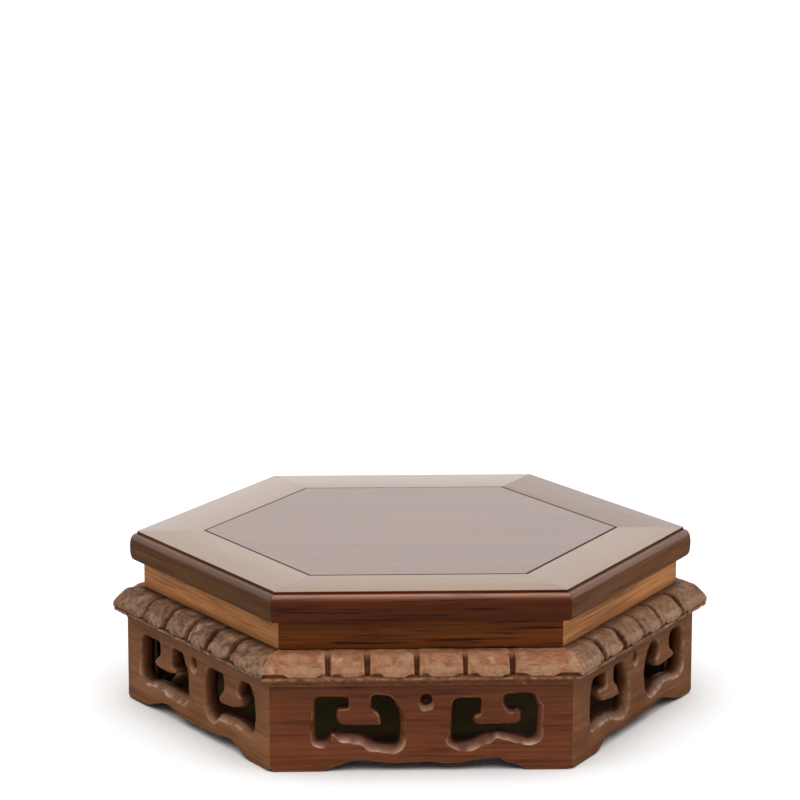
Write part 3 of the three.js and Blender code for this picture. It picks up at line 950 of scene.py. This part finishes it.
class Carving:
    """One moulding while it is carved: its points by station and row, and its channels."""

    def __init__(self, mesh, side, tile_random):
        self.points = corners_of(mesh).reshape(moulding_stations, -1, 3)
        self.skin = self.points[:, tile_rows]
        self.side = side
        self.shift = carving_seed * side_names.index(side)
        self.cuts = channel_cuts(side, tile_random)
        depths = [channel(cut) * tile_random.uniform(*channel_depths) for cut in self.cuts]
        self.depth = np.max(depths, axis=0)
        self.uncut = self.depth < uncut_below
        self.high = arch_edge(self.cuts, side)
        self.beside = eased_edges(self.cuts)
        steps = np.linalg.norm(np.diff(self.skin, axis=1, prepend=self.skin[:, :1]), axis=2)
        self.down = np.cumsum(steps, axis=1)
        self.on_face = unit((self.down - channel_starts_at) / channel_deepens_over)
        self.begun = at_least(channel_start[side], self.on_face)

    def carve(self, mesh, tile_random):
        self.cut_tiles(tile_random)
        self.cut_lower_edge()
        self.roughen_bead()
        self.points[:, :, 1] = np.maximum(self.points[:, :, 1], -lip_out)
        set_corners(mesh, self.points.reshape(-1, 3))
        mark(mesh, "wear_and_highlight", self.wear_and_highlight().ravel())
        mark(mesh, "stain_and_shade", self.stain_and_shade().ravel())

    def cut_tiles(self, tile_random):
        """Moves the surface to its chisel facets, and down into the channels."""
        raised = np.zeros(self.down.shape)
        edges = [-moulding_half] + [cut["at"] for cut in self.cuts] + [moulding_half]
        for start, end in zip(edges, edges[1:]):
            inside = ((stations >= start) & (stations <= end))[:, 0]
            along = stations[inside] - (start + end) / 2
            raised[inside] = facets(along, self.down[inside] - facet_middle, tile_random)
        raised -= tile_ease[self.side] * self.beside
        raised += rough_layers(self.skin, tile_roughness, self.shift)
        raised *= at_least(shelf_cuts, self.on_face)
        raised = (raised - self.depth * channel_depth * self.begun) * corner_fade
        tangent = np.gradient(self.skin, axis=1)
        normal = np.stack([np.zeros_like(raised), tangent[:, :, 2], -tangent[:, :, 1]], axis=2)
        normal /= np.linalg.norm(normal, axis=2, keepdims=True)
        self.skin += normal * raised[:, :, None]

    def cut_lower_edge(self):
        """Cuts the lip of the tiles up to its arches, and the recess under them."""
        high = self.high[:, 0]
        lip = rows["lip"]
        under = rows["under"]
        wobble = lip_edge_wobble * np.abs(rough_along(lip_wobble_size, self.shift)[:, 0])
        edge = bead_top + (lip_edge_gap + wobble) * mm + high * (tile_foot - bead_top - lip_edge_low)
        lip_top = self.points[:, lip.start - 1, 2] - lip_start
        edge = np.minimum(edge, lip_top - lip_least_height)
        shares = np.linspace(lip_first_row, 1, lip.stop - lip.start)
        self.points[:, lip, 2] = lip_top[:, None] + shares * (edge - lip_top)[:, None]
        self.points[:, under.start, 2] = edge
        lowest = self.points[:, lip.stop - 1, 1]
        recess = -lip_out + recess_depths[self.side] * at_least(recess_least, high)
        self.points[:, under, 1] = np.maximum(lowest + recess_behind, recess)[:, None]

    def roughen_bead(self):
        for group in ("bead", "cove"):
            stretch = self.points[:, rows[group]][:, 1:]
            bumps = rough_layers(stretch, bead_bumps, self.shift)
            stretch[:, :, 1] += bead_roughness[self.side] * (bumps + bead_sunk) * corner_fade

    def wear_and_highlight(self):
        wear_and_highlight = np.zeros(self.points.shape[:2])
        face = rows["face"]
        bead = rows["bead"].start
        low = 1 - self.high
        # Wear, with painted highlight on the lip, beside the channels and on the bead's crest.
        beside = self.beside * self.uncut * (1 - rim_shade[self.side])
        corners = unit(1 - to_corner / corner_wear_reach)
        level, contrast, size, seed = bead_wear_and_highlight_patches
        rubbed_and_highlit = unit(level + contrast * rough_along(size, self.shift + seed))
        wear_and_highlight[:, rows["lip"]] = lip_wear_and_highlight * low
        wear_and_highlight[:, face] = np.maximum(channel_edge_wear_and_highlight * beside ** 2, corner_wear * corners)
        wear_and_highlight[:, face.stop - lip_arris_rows:face.stop] += lip_arris_wear_and_highlight * low
        first, last = bead_crest_rows
        wear_and_highlight[:, bead + first:bead + last] = bead_wear_and_highlight * rubbed_and_highlit
        glow = tile_glow[self.side] * patches(self.skin, self.shift, *glow_patches) * self.uncut
        wear_and_highlight[:, tile_rows] = np.maximum(wear_and_highlight[:, tile_rows], glow)
        return wear_and_highlight

    def stain_and_shade(self):
        stain_and_shade = np.zeros(self.points.shape[:2])
        # Painted shade in the channels, on the tile edges beside them, on the shelf, under the lip, at the
        # bead's foot and in the cove, and patches that are heaviest on the left side.
        deep = unit(channel_shade_gain * self.depth)
        cut = gap_shade * deep * at_least(channel_shade_least, self.begun)
        least, more = tile_shade[self.side]
        patched = least + more * patches(self.skin, self.shift, *tile_patches)
        rim = rim_shade[self.side] * self.beside ** rim_shade_spread
        start, fade = shelf_shade_fade
        shelf = shelf_shade[self.side] * unit(start - fade * self.down / shelf_width)
        stain_and_shade[:, tile_rows] = functools.reduce(np.maximum, (cut, patched, rim, shelf))
        stain_and_shade[:, rows["under"]] = under_shade[self.side]
        bead = rows["bead"]
        stain_and_shade[:, bead.start] = under_shade_on_bead * under_shade[self.side]
        middle = slice(bead.start + 1, bead.stop - 1)
        least, more = bead_shade[self.side]
        stain_and_shade[:, middle] = least + more * patches(self.points[:, middle], self.shift, *bead_patches)
        stain_and_shade[:, bead.stop - 1] = bead_foot_shade
        stain_and_shade[:, rows["cove"]] = cove_shade[self.side]
        return stain_and_shade


for index, side in enumerate(side_names):
    moulding = swept_bar(f"tiles_{side}", section, moulding_straight, moulding_stations, moulding_wood)
    tile_random = random.Random(tile_seed + index)
    Carving(moulding.data, side, tile_random).carve(moulding.data, tile_random)
    ease_mitre_arris(moulding.data, *moulding_corner, tile_top_out)
    fit(moulding, side, moulding_tones[side], f"tile_moulding_{side}")


# Aprons
# Six pierced boards, mitred at the corners, whose ends are the feet. Each window was sawn round
# a cloud head that hangs from the top of the board, then its edges were pared with a gouge.
apron_top = moulding_foot - shoulder_gap
apron_tongue_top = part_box("apron_front")[1].z
outline_step = 0.4 * mm
column_points = 40
same_spot = 1e-9
apron_seed = 31.0
window_seed = 20
corner_share = 0.48
foot_corner = 3.4 * mm
foot_corner_lift = 1.2 * mm
edge_ease = 0.9 * mm
apron_corner = (0.9 * mm, 0.28 * mm)
saw_depth = 5 * mm
saw_lean = 0.05
back_cut = 1.7 * mm
room_share = 0.7
room_from = 0.02 * mm
apron_smooth_below = math.radians(50)

# The steps of the lower edge: how far in and up as shares of its ease, then wear and painted shade.
edge_rings = ((0.0, 1.0, 0.0, 0.0), (0.16, 0.45, 0.12, 0.0), (0.5, 0.12, 0.1, 0.1), (1.0, 0.0, 0.0, 0.3))

# The high and low points of each lower edge in millimetres: along the board and height.
arches = by_side(
    ((-42.0, 0), (-26.5, 4.8), (-12.0, 3.0), (0, 3.5), (12.0, 3.0), (26.5, 4.8), (43.0, 0)),
    front=(
        (-40.5, 0), (-23.5, 4.6), (-10.5, 3.0), (3.0, 3.5), (11.5, 2.7), (29.3, 5.0), (33.4, 2.9),
        (42.5, 0),
    ),
    front_left=((-48.0, 0), (-24.0, 5.4), (-10.0, 3.0), (0, 3.2), (12.0, 3.4), (27.0, 4.8), (42.0, 0)),
    front_right=((-37.0, 0), (-23.0, 5.0), (-10.0, 3.9), (0, 4.1), (11.0, 3.9), (26.0, 5.3), (51.0, 0)),
)
arch_waver = 0.12 * mm
arch_waver_size = 4 * mm

# The gouged hole's centre in millimetres, then its rings: radius, depth, wear with painted highlight, and
# painted shade.
gouge_places = by_side((0.0, 28.1), front=(1.9, 28.4), front_left=(-2.0, 28.8), front_right=(0.5, 30.2))
gouge_rings = (
    (2.7, 0.12, 1.0, 0.0), (2.3, 0.8, 0.5, 0.3), (2.1, 1.7, 0.0, 0.8), (1.4, 2.6, 0.0, 0.9),
    (0.7, 3.2, 0.0, 0.95),
)
gouge_points = 48
gouge_bottom = 3.35 * mm
gouge_shade = 0.95

# The pared lip round the hole: its width everywhere and what is added below, in millimetres.
gouge_lip_least = 0.3
gouge_lip_below = 1.7
gouge_lip_narrows = 1.5
gouge_lip_pared = 0.9
# The lower lip's wear also carries a painted highlight.
gouge_lip_wear_and_highlight = 0.25
gouge_pared_above = 0.5

# How uneven the lip and the hole are, and the size of it on a circle with a radius of 1.
gouge_lip_waver = (0.3, 0.6)
hole_waver = (0.05, 0.8)

# The steps of a window's bevel: how far out and how deep as shares, then its painted shade
# everywhere, darker deeper in, and what a sill adds to it, as it faces the light above.
bevel_rings = (
    (1.0, 0.0, 0.0, 0.0), (0.9, 0.07, 0.0, 0.0), (0.62, 0.36, 0.06, 0.15),
    (0.32, 0.68, 0.15, 0.3), (0.1, 0.88, 0.25, 0.4), (0.0, 1.0, 0.35, 0.4),
)
bevel_least = 0.35 * mm
bevel_steepness = 0.8
bevel_waver = ((0.22, 4.0 * mm, 3), (0.14, 1.6 * mm, 7))

# The crest of a bevel is worn and carries a painted highlight, more so on a sill, which faces
# the light above: how much, then its patches' level, contrast, size and seed.
crest_wear_and_highlight = 0.45
sill_painted_highlight = 0.75
crest_patches = (0.5, 1.3, 3.5 * mm, 11)
lump_size = 1.5 * mm
lump_seed = 40
saw_waver = 0.13 * mm
saw_waver_size = 3.1 * mm
# Painted shade on the sawn walls of the windows and over the whole inner face of the board.
sawn_shade = 0.85
inside_shade = 0.95
sill_lumps = by_side(0.28 * mm, front=0.16 * mm)
apron_tones = by_side(0.35, front=1.0, front_right=0.0, front_left=0.0)
apron_wood = wood(
    "apron_wood", dark=(0.125, 0.043, 0.013), pale=(0.300, 0.116, 0.040), worn_and_highlit=(0.62, 0.40, 0.26),
    roughness=0.5, lacquer=0.0, figure=0.55, rough_bump=0.3, red=(0.73, 0.46, 0.28),
)

# The corners of each window in millimetres: along the board, height, how far the corner is
# rounded and how wide the bevel is there.
windows = {
    "front": [[
        (-40.9, 29.7, 2.6, 1.2), (-40.8, 12, 1.8, 2.3), (-36, 11.9, 1.6, 2.5), (-34.7, 15.5, 0.9, 3.2),
        (-29.5, 14.6, 2.5, 3.7), (-24.5, 14.6, 2.5, 3.6), (-17, 10.4, 3, 3.4), (-8.8, 10, 2.2, 3),
        (-7.9, 15, 2, 2.4), (-8, 22.5, 2.5, 2.2), (-10.2, 27.5, 2, 1.4), (-12.6, 30.2, 1.6, 1),
        (-18.9, 30.3, 1.2, 0.8), (-19.4, 25.6, 1.2, 0.8), (-16, 23.2, 1.6, 1), (-15.2, 18.2, 1.8, 1.2),
        (-31.2, 18.4, 2.4, 1), (-32.9, 21.5, 1.6, 1.2), (-32.3, 25.5, 1.4, 1.2),
        (-27.9, 25.4, 0.9, 0.7), (-28.1, 29.7, 1.2, 0.7),
    ], [
        (12, 29, 3.2, 0.8), (11.4, 17, 3, 0.7), (11.5, 10.8, 2.2, 2.3), (17.5, 10.4, 2.6, 3.5),
        (23.5, 13.6, 3, 3.4), (29.5, 15.4, 2.4, 2.6), (35.2, 14, 1.2, 2.6), (38, 13.2, 1, 2.8),
        (41.5, 12, 1.4, 2.4), (44.6, 13.4, 1.8, 2.7), (44.8, 24, 2, 2.5), (43.8, 30.3, 2.6, 1.4),
        (32.2, 30.5, 1.6, 0.8), (31.6, 26.4, 1.4, 0.9), (34.6, 23.6, 1.2, 1.6), (36.6, 24.8, 0.8, 1.2),
        (38.4, 23.6, 1, 1.2), (38.3, 18.6, 2, 0.9), (21, 18.1, 2, 1), (19.7, 20, 1, 1),
        (20.2, 22.2, 0.9, 1.4), (22.8, 22.9, 0.9, 0.9), (23, 29, 1.4, 0.7),
    ]],
    "front_left": [[
        (-46.3, 30.3, 3.6, 0.8), (-46.8, 12.5, 2.6, 1.4), (-41.5, 11, 2, 1.9), (-37.5, 12.4, 2, 2.2),
        (-30, 13, 4, 2.6), (-22, 12.4, 3, 3.6), (-12, 12, 3, 3.6), (-7.6, 12.6, 1.8, 2.2),
        (-7.2, 24, 2.4, 1.4), (-9.8, 27, 1.6, 1), (-10.6, 30.2, 2, 0.8), (-20.3, 30.6, 1.6, 0.7),
        (-20.8, 22.8, 1.2, 0.8), (-17.4, 22.4, 1, 1), (-16.8, 20.4, 1, 1.2), (-24, 18.8, 3, 1),
        (-33, 19.2, 2, 1), (-35.4, 21, 1.2, 1.2), (-34, 23.2, 1.4, 1.4), (-30.2, 25.2, 1.4, 0.9),
        (-30, 30.3, 1.8, 0.7),
    ], [
        (8.4, 29.8, 3.4, 0.8), (6.9, 22, 3, 1), (7.4, 14, 3, 1.4), (11.4, 9.8, 1.6, 2.2),
        (15, 9.9, 1.4, 2.4), (17, 12.6, 1.6, 2.4), (24, 13.4, 3, 2.8), (31, 14, 3, 2.4),
        (38.5, 13, 1.6, 2.2), (41.5, 11.8, 1.4, 2), (44.8, 13.2, 1.4, 2), (46.8, 18, 2, 1.4),
        (46.8, 25, 2.6, 1), (44.5, 30.6, 2.4, 0.8), (35, 31.2, 2.4, 0.7), (33.2, 26.6, 1.4, 0.8),
        (34, 24.9, 0.7, 1), (36.8, 24.2, 1, 1.2), (36.2, 20.4, 1.4, 1), (30, 18.4, 3, 0.8),
        (20, 17.4, 2, 0.9), (18, 19.4, 1.2, 1), (19.4, 21.8, 1.2, 1.3), (22.4, 24, 1.2, 0.9),
        (22.3, 30, 1.8, 0.7),
    ]],
    "front_right": [[
        (-40.6, 31.2, 2.6, 0.8), (-42.1, 26, 2.2, 1), (-42, 16, 2.6, 1.4), (-40.6, 11.2, 1.6, 1.8),
        (-37, 12.6, 1.6, 2.4), (-30, 13.2, 3, 2.6), (-22, 13, 3, 2.8), (-14, 10.8, 3, 3.2),
        (-8, 10.6, 1.8, 3), (-6.6, 15, 2.2, 2.4), (-6.4, 24, 2.6, 1.2), (-9.6, 29, 1.6, 1),
        (-11, 31.2, 1.2, 0.8), (-20.4, 31.4, 1.4, 0.7), (-20.5, 25.6, 1.4, 0.9), (-16, 23, 1.6, 1.2),
        (-14.6, 18.4, 1.2, 1.2), (-20, 18.4, 2, 0.9), (-29.6, 19.6, 1.6, 0.9), (-34.9, 23.8, 1.1, 1.2),
        (-33.6, 25.5, 0.8, 1.3), (-27.4, 25.2, 1, 0.9), (-27.2, 31.3, 1.8, 0.7),
    ], [
        (14.4, 31.6, 2.6, 0.8), (9.8, 25, 3, 1), (10, 19, 2.4, 1.4), (12.4, 13, 2.2, 1.8),
        (16.5, 10.2, 2, 2.2), (22, 12, 2.6, 2.6), (28.5, 14.2, 3, 2.4), (36, 13.6, 2.4, 2.4),
        (43.5, 12.2, 2, 2.2), (48, 13.2, 2, 1.8), (48.4, 29, 2.6, 1.2), (45.6, 31.8, 2, 0.9),
        (35.8, 31.9, 1.6, 0.7), (34, 29, 1.4, 0.8), (34.8, 25.6, 1.2, 0.9), (39.4, 22.6, 1.2, 1.2),
        (38.4, 20.4, 1.2, 0.9), (27, 19.6, 2.4, 0.9), (22.6, 20.2, 1.2, 1), (20.4, 23.2, 1.2, 1.3),
        (23.8, 25.4, 1.2, 0.9), (24.4, 28.8, 1.4, 0.8), (21.6, 31.7, 1.6, 0.8),
    ]],
}
# A hidden side repeats one that shows, and -1 turns its pattern round.
windows_like = {"back": ("front", -1), "back_left": ("front", -1), "back_right": ("front_left", 1)}


def rounded(corners, steps=6):
    """Corner points with their roundings become one closed outline, with the bevel's width."""
    outline = []
    for at, (along, height, reach, bevel) in enumerate(corners):
        here = Vector((along, height))
        before = Vector(corners[at - 1][:2]) - here
        after = Vector(corners[(at + 1) % len(corners)][:2]) - here
        start = here + before.normalized() * min(reach, corner_share * before.length)
        end = here + after.normalized() * min(reach, corner_share * after.length)
        outline += [(x * mm, z * mm, bevel * mm) for x, z in bend(start, here, end, steps)]
    return np.array(outline)


def evenly(outline, step):
    """The same closed outline with its points evenly spaced."""
    lengths = np.linalg.norm((np.roll(outline, -1, axis=0) - outline)[:, :2], axis=1)
    travelled = np.concatenate([[0], np.cumsum(lengths)])
    count = round(travelled[-1] / step)
    targets = np.linspace(0, travelled[-1], count, endpoint=False)
    closed = np.vstack([outline, outline[:1]])
    return np.column_stack([np.interp(targets, travelled, closed[:, axis]) for axis in range(3)])


def into_wood(outline):
    """At each point of a hole's outline, the direction that leads into the wood."""
    ahead = np.roll(outline, -2, axis=0) - np.roll(outline, 2, axis=0)
    ahead /= np.linalg.norm(ahead, axis=1)[:, None]
    area = np.sum(outline[:, 0] * np.roll(outline[:, 1], -1) - outline[:, 1] * np.roll(outline[:, 0], -1))
    return np.column_stack([ahead[:, 1], -ahead[:, 0]]) * np.sign(area)


def wood_room(outline, outward):
    """The radius of the largest circle in the wood that touches the outline at each point."""
    across = outline[None, :, :] - outline[:, None, :]
    inward = np.einsum("ijk,ik->ij", across, outward)
    squared = np.sum(across ** 2, axis=2)
    with np.errstate(divide="ignore", invalid="ignore"):
        radius = np.where(inward > room_from, squared / (2 * inward), np.inf)
    return radius.min(axis=1)


def eased_round(values, reach=2):
    """A running mean along a closed outline."""
    return sum(np.roll(values, step) for step in range(-reach, reach + 1)) / (2 * reach + 1)


def shaky(values, size, shift):
    return np.array([noise.noise(Vector((x / size, z / size, shift))) for x, z in values])


class Board:
    """Points and faces of one apron, collected before they become a mesh."""

    def __init__(self):
        self.points = []
        self.faces = []
        self.flat = []
        self.wear_and_highlight = []
        self.stain_and_shade = []

    def ring(self, outline, out, wear_and_highlight=0.0, stain_and_shade=0.0):
        start = len(self.points)
        depths = np.broadcast_to(out, len(outline))
        self.points += [(along, -depth, height) for (along, height), depth in zip(outline, depths)]
        self.wear_and_highlight += list(np.broadcast_to(wear_and_highlight, len(outline)))
        self.stain_and_shade += list(np.broadcast_to(stain_and_shade, len(outline)))
        return list(range(start, len(self.points)))

    def face(self, corners, flat=False):
        self.faces.append(corners)
        self.flat.append(flat)

    def walls(self, rings, closed=True, flat=False):
        """Joins each ring to the next."""
        for first, second in zip(rings, rings[1:]):
            for at in range(len(first) if closed else len(first) - 1):
                to = (at + 1) % len(first)
                self.face((first[at], first[to], second[to], second[at]), flat)

    def sheet(self, rings, extra=()):
        """Fills the flat face between the first ring and the others, which are holes in it."""
        order = [at for ring in (*rings, extra) for at in ring]
        spots = [Vector((self.points[at][0], self.points[at][2])) for at in order]
        edges = []
        for ring in rings:
            start = len(edges)
            edges += [(start + at, start + (at + 1) % len(ring)) for at in range(len(ring))]
        corners_at, _, triangles, sources, *_ = delaunay_2d_cdt(spots, edges, [], 0, same_spot)
        centres = [sum((corners_at[at] for at in corners), Vector((0, 0))) / 3 for corners in triangles]
        across, level = np.array(centres).T[:, :, None]
        starts = np.array([spots[first] for first, _ in edges])
        ends = np.array([spots[second] for _, second in edges])
        crosses = (starts[:, 1] > level) != (ends[:, 1] > level)
        rise = np.where(ends[:, 1] == starts[:, 1], 1, ends[:, 1] - starts[:, 1])
        meets = starts[:, 0] + (level - starts[:, 1]) / rise * (ends[:, 0] - starts[:, 0])
        inside = np.sum(crosses & (meets > across), axis=1) % 2 == 1
        for corners, kept in zip(triangles, inside):
            if kept:
                self.face(tuple(order[sources[at][0]] for at in corners), True)


def pierce(board, corners, lumps, shift):
    """The walls of one window, from its bevelled front edge to the back of the board."""
    traced = evenly(rounded(corners), outline_step)
    outline, bevel = traced[:, :2], traced[:, 2]
    waver = saw_waver * shaky(outline, saw_waver_size, shift)
    outline = outline + into_wood(outline) * waver[:, None]
    outward = into_wood(outline)
    room = room_share * wood_room(outline, outward)
    swells = (share * shaky(outline, size, shift + seed) for share, size, seed in bevel_waver)
    bevel = bevel * sum(swells, 1)
    bevel = eased_round(np.minimum(bevel, room))
    back = eased_round(np.minimum(back_cut, room))
    depth = bevel_least + bevel_steepness * bevel
    sill = unit(-outward[:, 1])
    level, contrast, size, seed = crest_patches
    crest = (crest_wear_and_highlight + sill_painted_highlight * sill) * unit(level + contrast * shaky(outline, size, shift + seed))
    rings = []
    for share, sink, shade, sill_shade in bevel_rings:
        halfway = 4 * sink * (1 - sink)
        lump = lumps * shaky(outline, lump_size, shift + lump_seed * share) * halfway
        spots = outline + outward * (share * bevel)[:, None]
        wear_and_highlight = crest * (share < 1) * share ** 2
        rings.append(board.ring(spots, apron_out - sink * depth - lump, wear_and_highlight, shade + sill_shade * sill))
    rings.append(board.ring(outline - outward * saw_lean * mm, apron_out - saw_depth, 0.0, sawn_shade))
    rings.append(board.ring(outline + outward * back[:, None], apron_in, 0.0, inside_shade))
    board.walls(rings)
    return rings[0], rings[-1]


def gouge_hole(board, place, shift):
    """The blind hole between the windows, with a pared lower lip."""
    centre = np.array(Vector(place) * mm)
    turns = np.linspace(0, 2 * math.pi, gouge_points, endpoint=False)
    round_way = np.column_stack([np.cos(turns), np.sin(turns)])

    def wavering(waver, seed):
        amount, size = waver
        return 1 + amount * shaky(round_way, size, seed)

    lip = gouge_lip_least + gouge_lip_below * unit(-round_way[:, 1]) ** gouge_lip_narrows
    lip = lip * wavering(gouge_lip_waver, shift)
    radius = gouge_rings[0][0] + lip
    rings = [board.ring(centre + round_way * (radius * mm)[:, None], apron_out)]
    worn_and_highlit = unit(gouge_lip_wear_and_highlight * lip)
    for size, sink, rub, shade in gouge_rings:
        width = size * mm * wavering(hole_waver, shift + sink)
        pared = gouge_lip_pared * (lip - gouge_lip_least) * mm * (sink < gouge_pared_above)
        spots = centre + round_way * (width + pared)[:, None]
        rings.append(board.ring(spots, apron_out - sink * mm, rub * worn_and_highlit, shade))
    bottom = board.ring([tuple(centre)], apron_out - gouge_bottom, 0.0, gouge_shade)[0]
    board.walls(rings)
    last = rings[-1]
    for at, corner in enumerate(last):
        board.face((corner, last[(at + 1) % len(last)], bottom))
    return rings[0]


def arch_height(along, knots):
    """Smooth waves between the high and low points of a lower edge."""
    for (start, start_height), (end, end_height) in zip(knots, knots[1:]):
        if start * mm <= along <= end * mm:
            share = (along / mm - start) / (end - start)
            smooth = share * share * (3 - 2 * share)
            return (start_height + (end_height - start_height) * smooth) * mm
    return 0.0


def lower_edge(knots, out, lift, shift):
    """The board's lower edge from mitre to mitre, at one distance from the axis."""
    end = out * mitre_slope - mitre_gap
    left_foot, right_foot = knots[0][0] * mm, knots[-1][0] * mm
    usual_end = apron_out * mitre_slope - mitre_gap
    count = round(2 * usual_end / outline_step)
    edge = []
    for step in range(count + 1):
        along = -usual_end + 2 * usual_end * step / count
        arched = left_foot < along < right_foot
        waver = arch_waver * noise.noise(Vector((along / arch_waver_size, shift, 0))) if arched else 0.0
        corner = max(0.0, 1 - (usual_end - abs(along)) / foot_corner) ** 2 * foot_corner_lift
        height = max(arch_height(along, knots) + waver, 0) + corner + lift
        if not arched:
            foot = left_foot if along < 0 else right_foot
            past = (along - foot) / (math.copysign(usual_end, along) - foot)
            along = foot + past * (math.copysign(end, along) - foot)
        edge.append((along, height))
    return edge


def apron_board(side, shift):
    """All points and faces of one apron, from its windows outwards."""
    board = Board()
    knots = arches[side]
    near, far = tongue_walls(apron_in, apron_out)
    like, turn = windows_like.get(side, (side, 1))
    fronts = []
    backs = []
    for at, corners in enumerate(windows[like]):
        turned = [(turn * along, *others) for along, *others in corners]
        front, back = pierce(board, turned, sill_lumps[side], shift + window_seed * at)
        fronts.append(front)
        backs.append(back)
    gouge = gouge_hole(board, gouge_places[side], shift)
    lows = []
    for sink, lift, wear_and_highlight, shade in edge_rings:
        out = apron_out - sink * edge_ease
        lows.append(board.ring(lower_edge(knots, out, lift * edge_ease, shift), out, wear_and_highlight, shade))
    lows.append(board.ring(lower_edge(knots, apron_in, 0.0, shift), apron_in, 0.0, inside_shade))
    levels = (
        (apron_out, apron_top), (far, apron_top), (far, apron_tongue_top),
        (near, apron_tongue_top), (near, apron_top), (apron_in, apron_top),
    )
    tops = []
    for out, level in levels:
        half = out * mitre_slope - mitre_gap
        shade = inside_shade * (out == apron_in)
        tops.append(board.ring([(-half, level), (half, level)], out, 0.0, shade))
    beside = apron_out * mitre_slope - apron_corner[0]
    heights = np.linspace(foot_corner_lift + edge_ease, apron_top - mm, column_points)
    columns = board.ring([(end * beside, height) for end in (-1, 1) for height in heights], apron_out)
    board.sheet([lows[0] + tops[0][::-1], *fronts, gouge], columns)
    board.sheet([lows[-1] + tops[-1][::-1], *backs])
    board.walls(lows, closed=False)
    board.walls(tops, closed=False, flat=True)
    for end in (0, -1):
        board.face(tuple(ring[end] for ring in (*lows, *tops[::-1])), True)
    return board


def apron_mesh(side, board):
    mesh = bpy.data.meshes.new(f"apron_{side}")
    mesh.from_pydata(board.points, [], board.faces)
    mesh.materials.append(apron_wood)
    mark(mesh, "wear_and_highlight", board.wear_and_highlight)
    mark(mesh, "stain_and_shade", board.stain_and_shade)
    ease_mitre_arris(mesh, *apron_corner, apron_out - mm)
    mesh.polygons.foreach_set("use_smooth", [not flat for flat in board.flat])
    shape = bmesh.new()
    shape.from_mesh(mesh)
    bmesh.ops.recalc_face_normals(shape, faces=shape.faces)
    shape.to_mesh(mesh)
    shape.free()
    mesh.set_sharp_from_angle(angle=apron_smooth_below)
    return mesh


for index, side in enumerate(side_names):
    mesh = apron_mesh(side, apron_board(side, apron_seed * index))
    apron = bpy.data.objects.new(f"carved_apron_{side}", mesh)
    scene.collection.objects.link(apron)
    grain_from_place(mesh)
    fit(apron, side, apron_tones[side], f"apron_{side}")


# Hidden joinery
# The battens under the panel, the loose tenons, and the blocks glued behind the waist and in the
# corners of the aprons are plain sawn softwood, painted very dark as painted shade inside the stand.
inner_shaded_dark = (0.045, 0.022, 0.010, 1)
inner_shaded_pale = (0.10, 0.055, 0.026, 1)
inner_grain = (40, 40, 420)
saw_marks = 900.0
saw_mark_bump = 0.3
saw_mark_depth = 0.2 * mm
inner_roughness = 0.8
inner_shine = 0.1


def softwood():
    material, tree = new_paint("bare_wood")
    place = add(tree, "ShaderNodeTexCoord").outputs["Object"]
    stretched = add(tree, "ShaderNodeMapping", {"Vector": place, "Scale": inner_grain}).outputs[0]
    rings = add(tree, "ShaderNodeTexNoise", {"Vector": stretched, "Scale": 1.0, "Detail": 4.0}).outputs[0]
    sawn = add(tree, "ShaderNodeTexNoise", {"Vector": place, "Scale": saw_marks, "Detail": 3.0}).outputs[0]
    bump = add(tree, "ShaderNodeBump", {
        "Height": sawn, "Strength": saw_mark_bump, "Distance": saw_mark_depth,
    })
    surface = add(tree, "ShaderNodeBsdfPrincipled", {
        "Base Color": color_mix(tree, rings, inner_shaded_dark, inner_shaded_pale),
        "Roughness": inner_roughness,
        "Normal": bump.outputs["Normal"],
        "Specular IOR Level": inner_shine,
    })
    add(tree, "ShaderNodeOutputMaterial", {"Surface": surface.outputs["BSDF"]})
    return material


inner_wood = softwood()
for node_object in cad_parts.values():
    if not node_object.hide_render:
        node_object.data.materials.clear()
        node_object.data.materials.append(inner_wood)
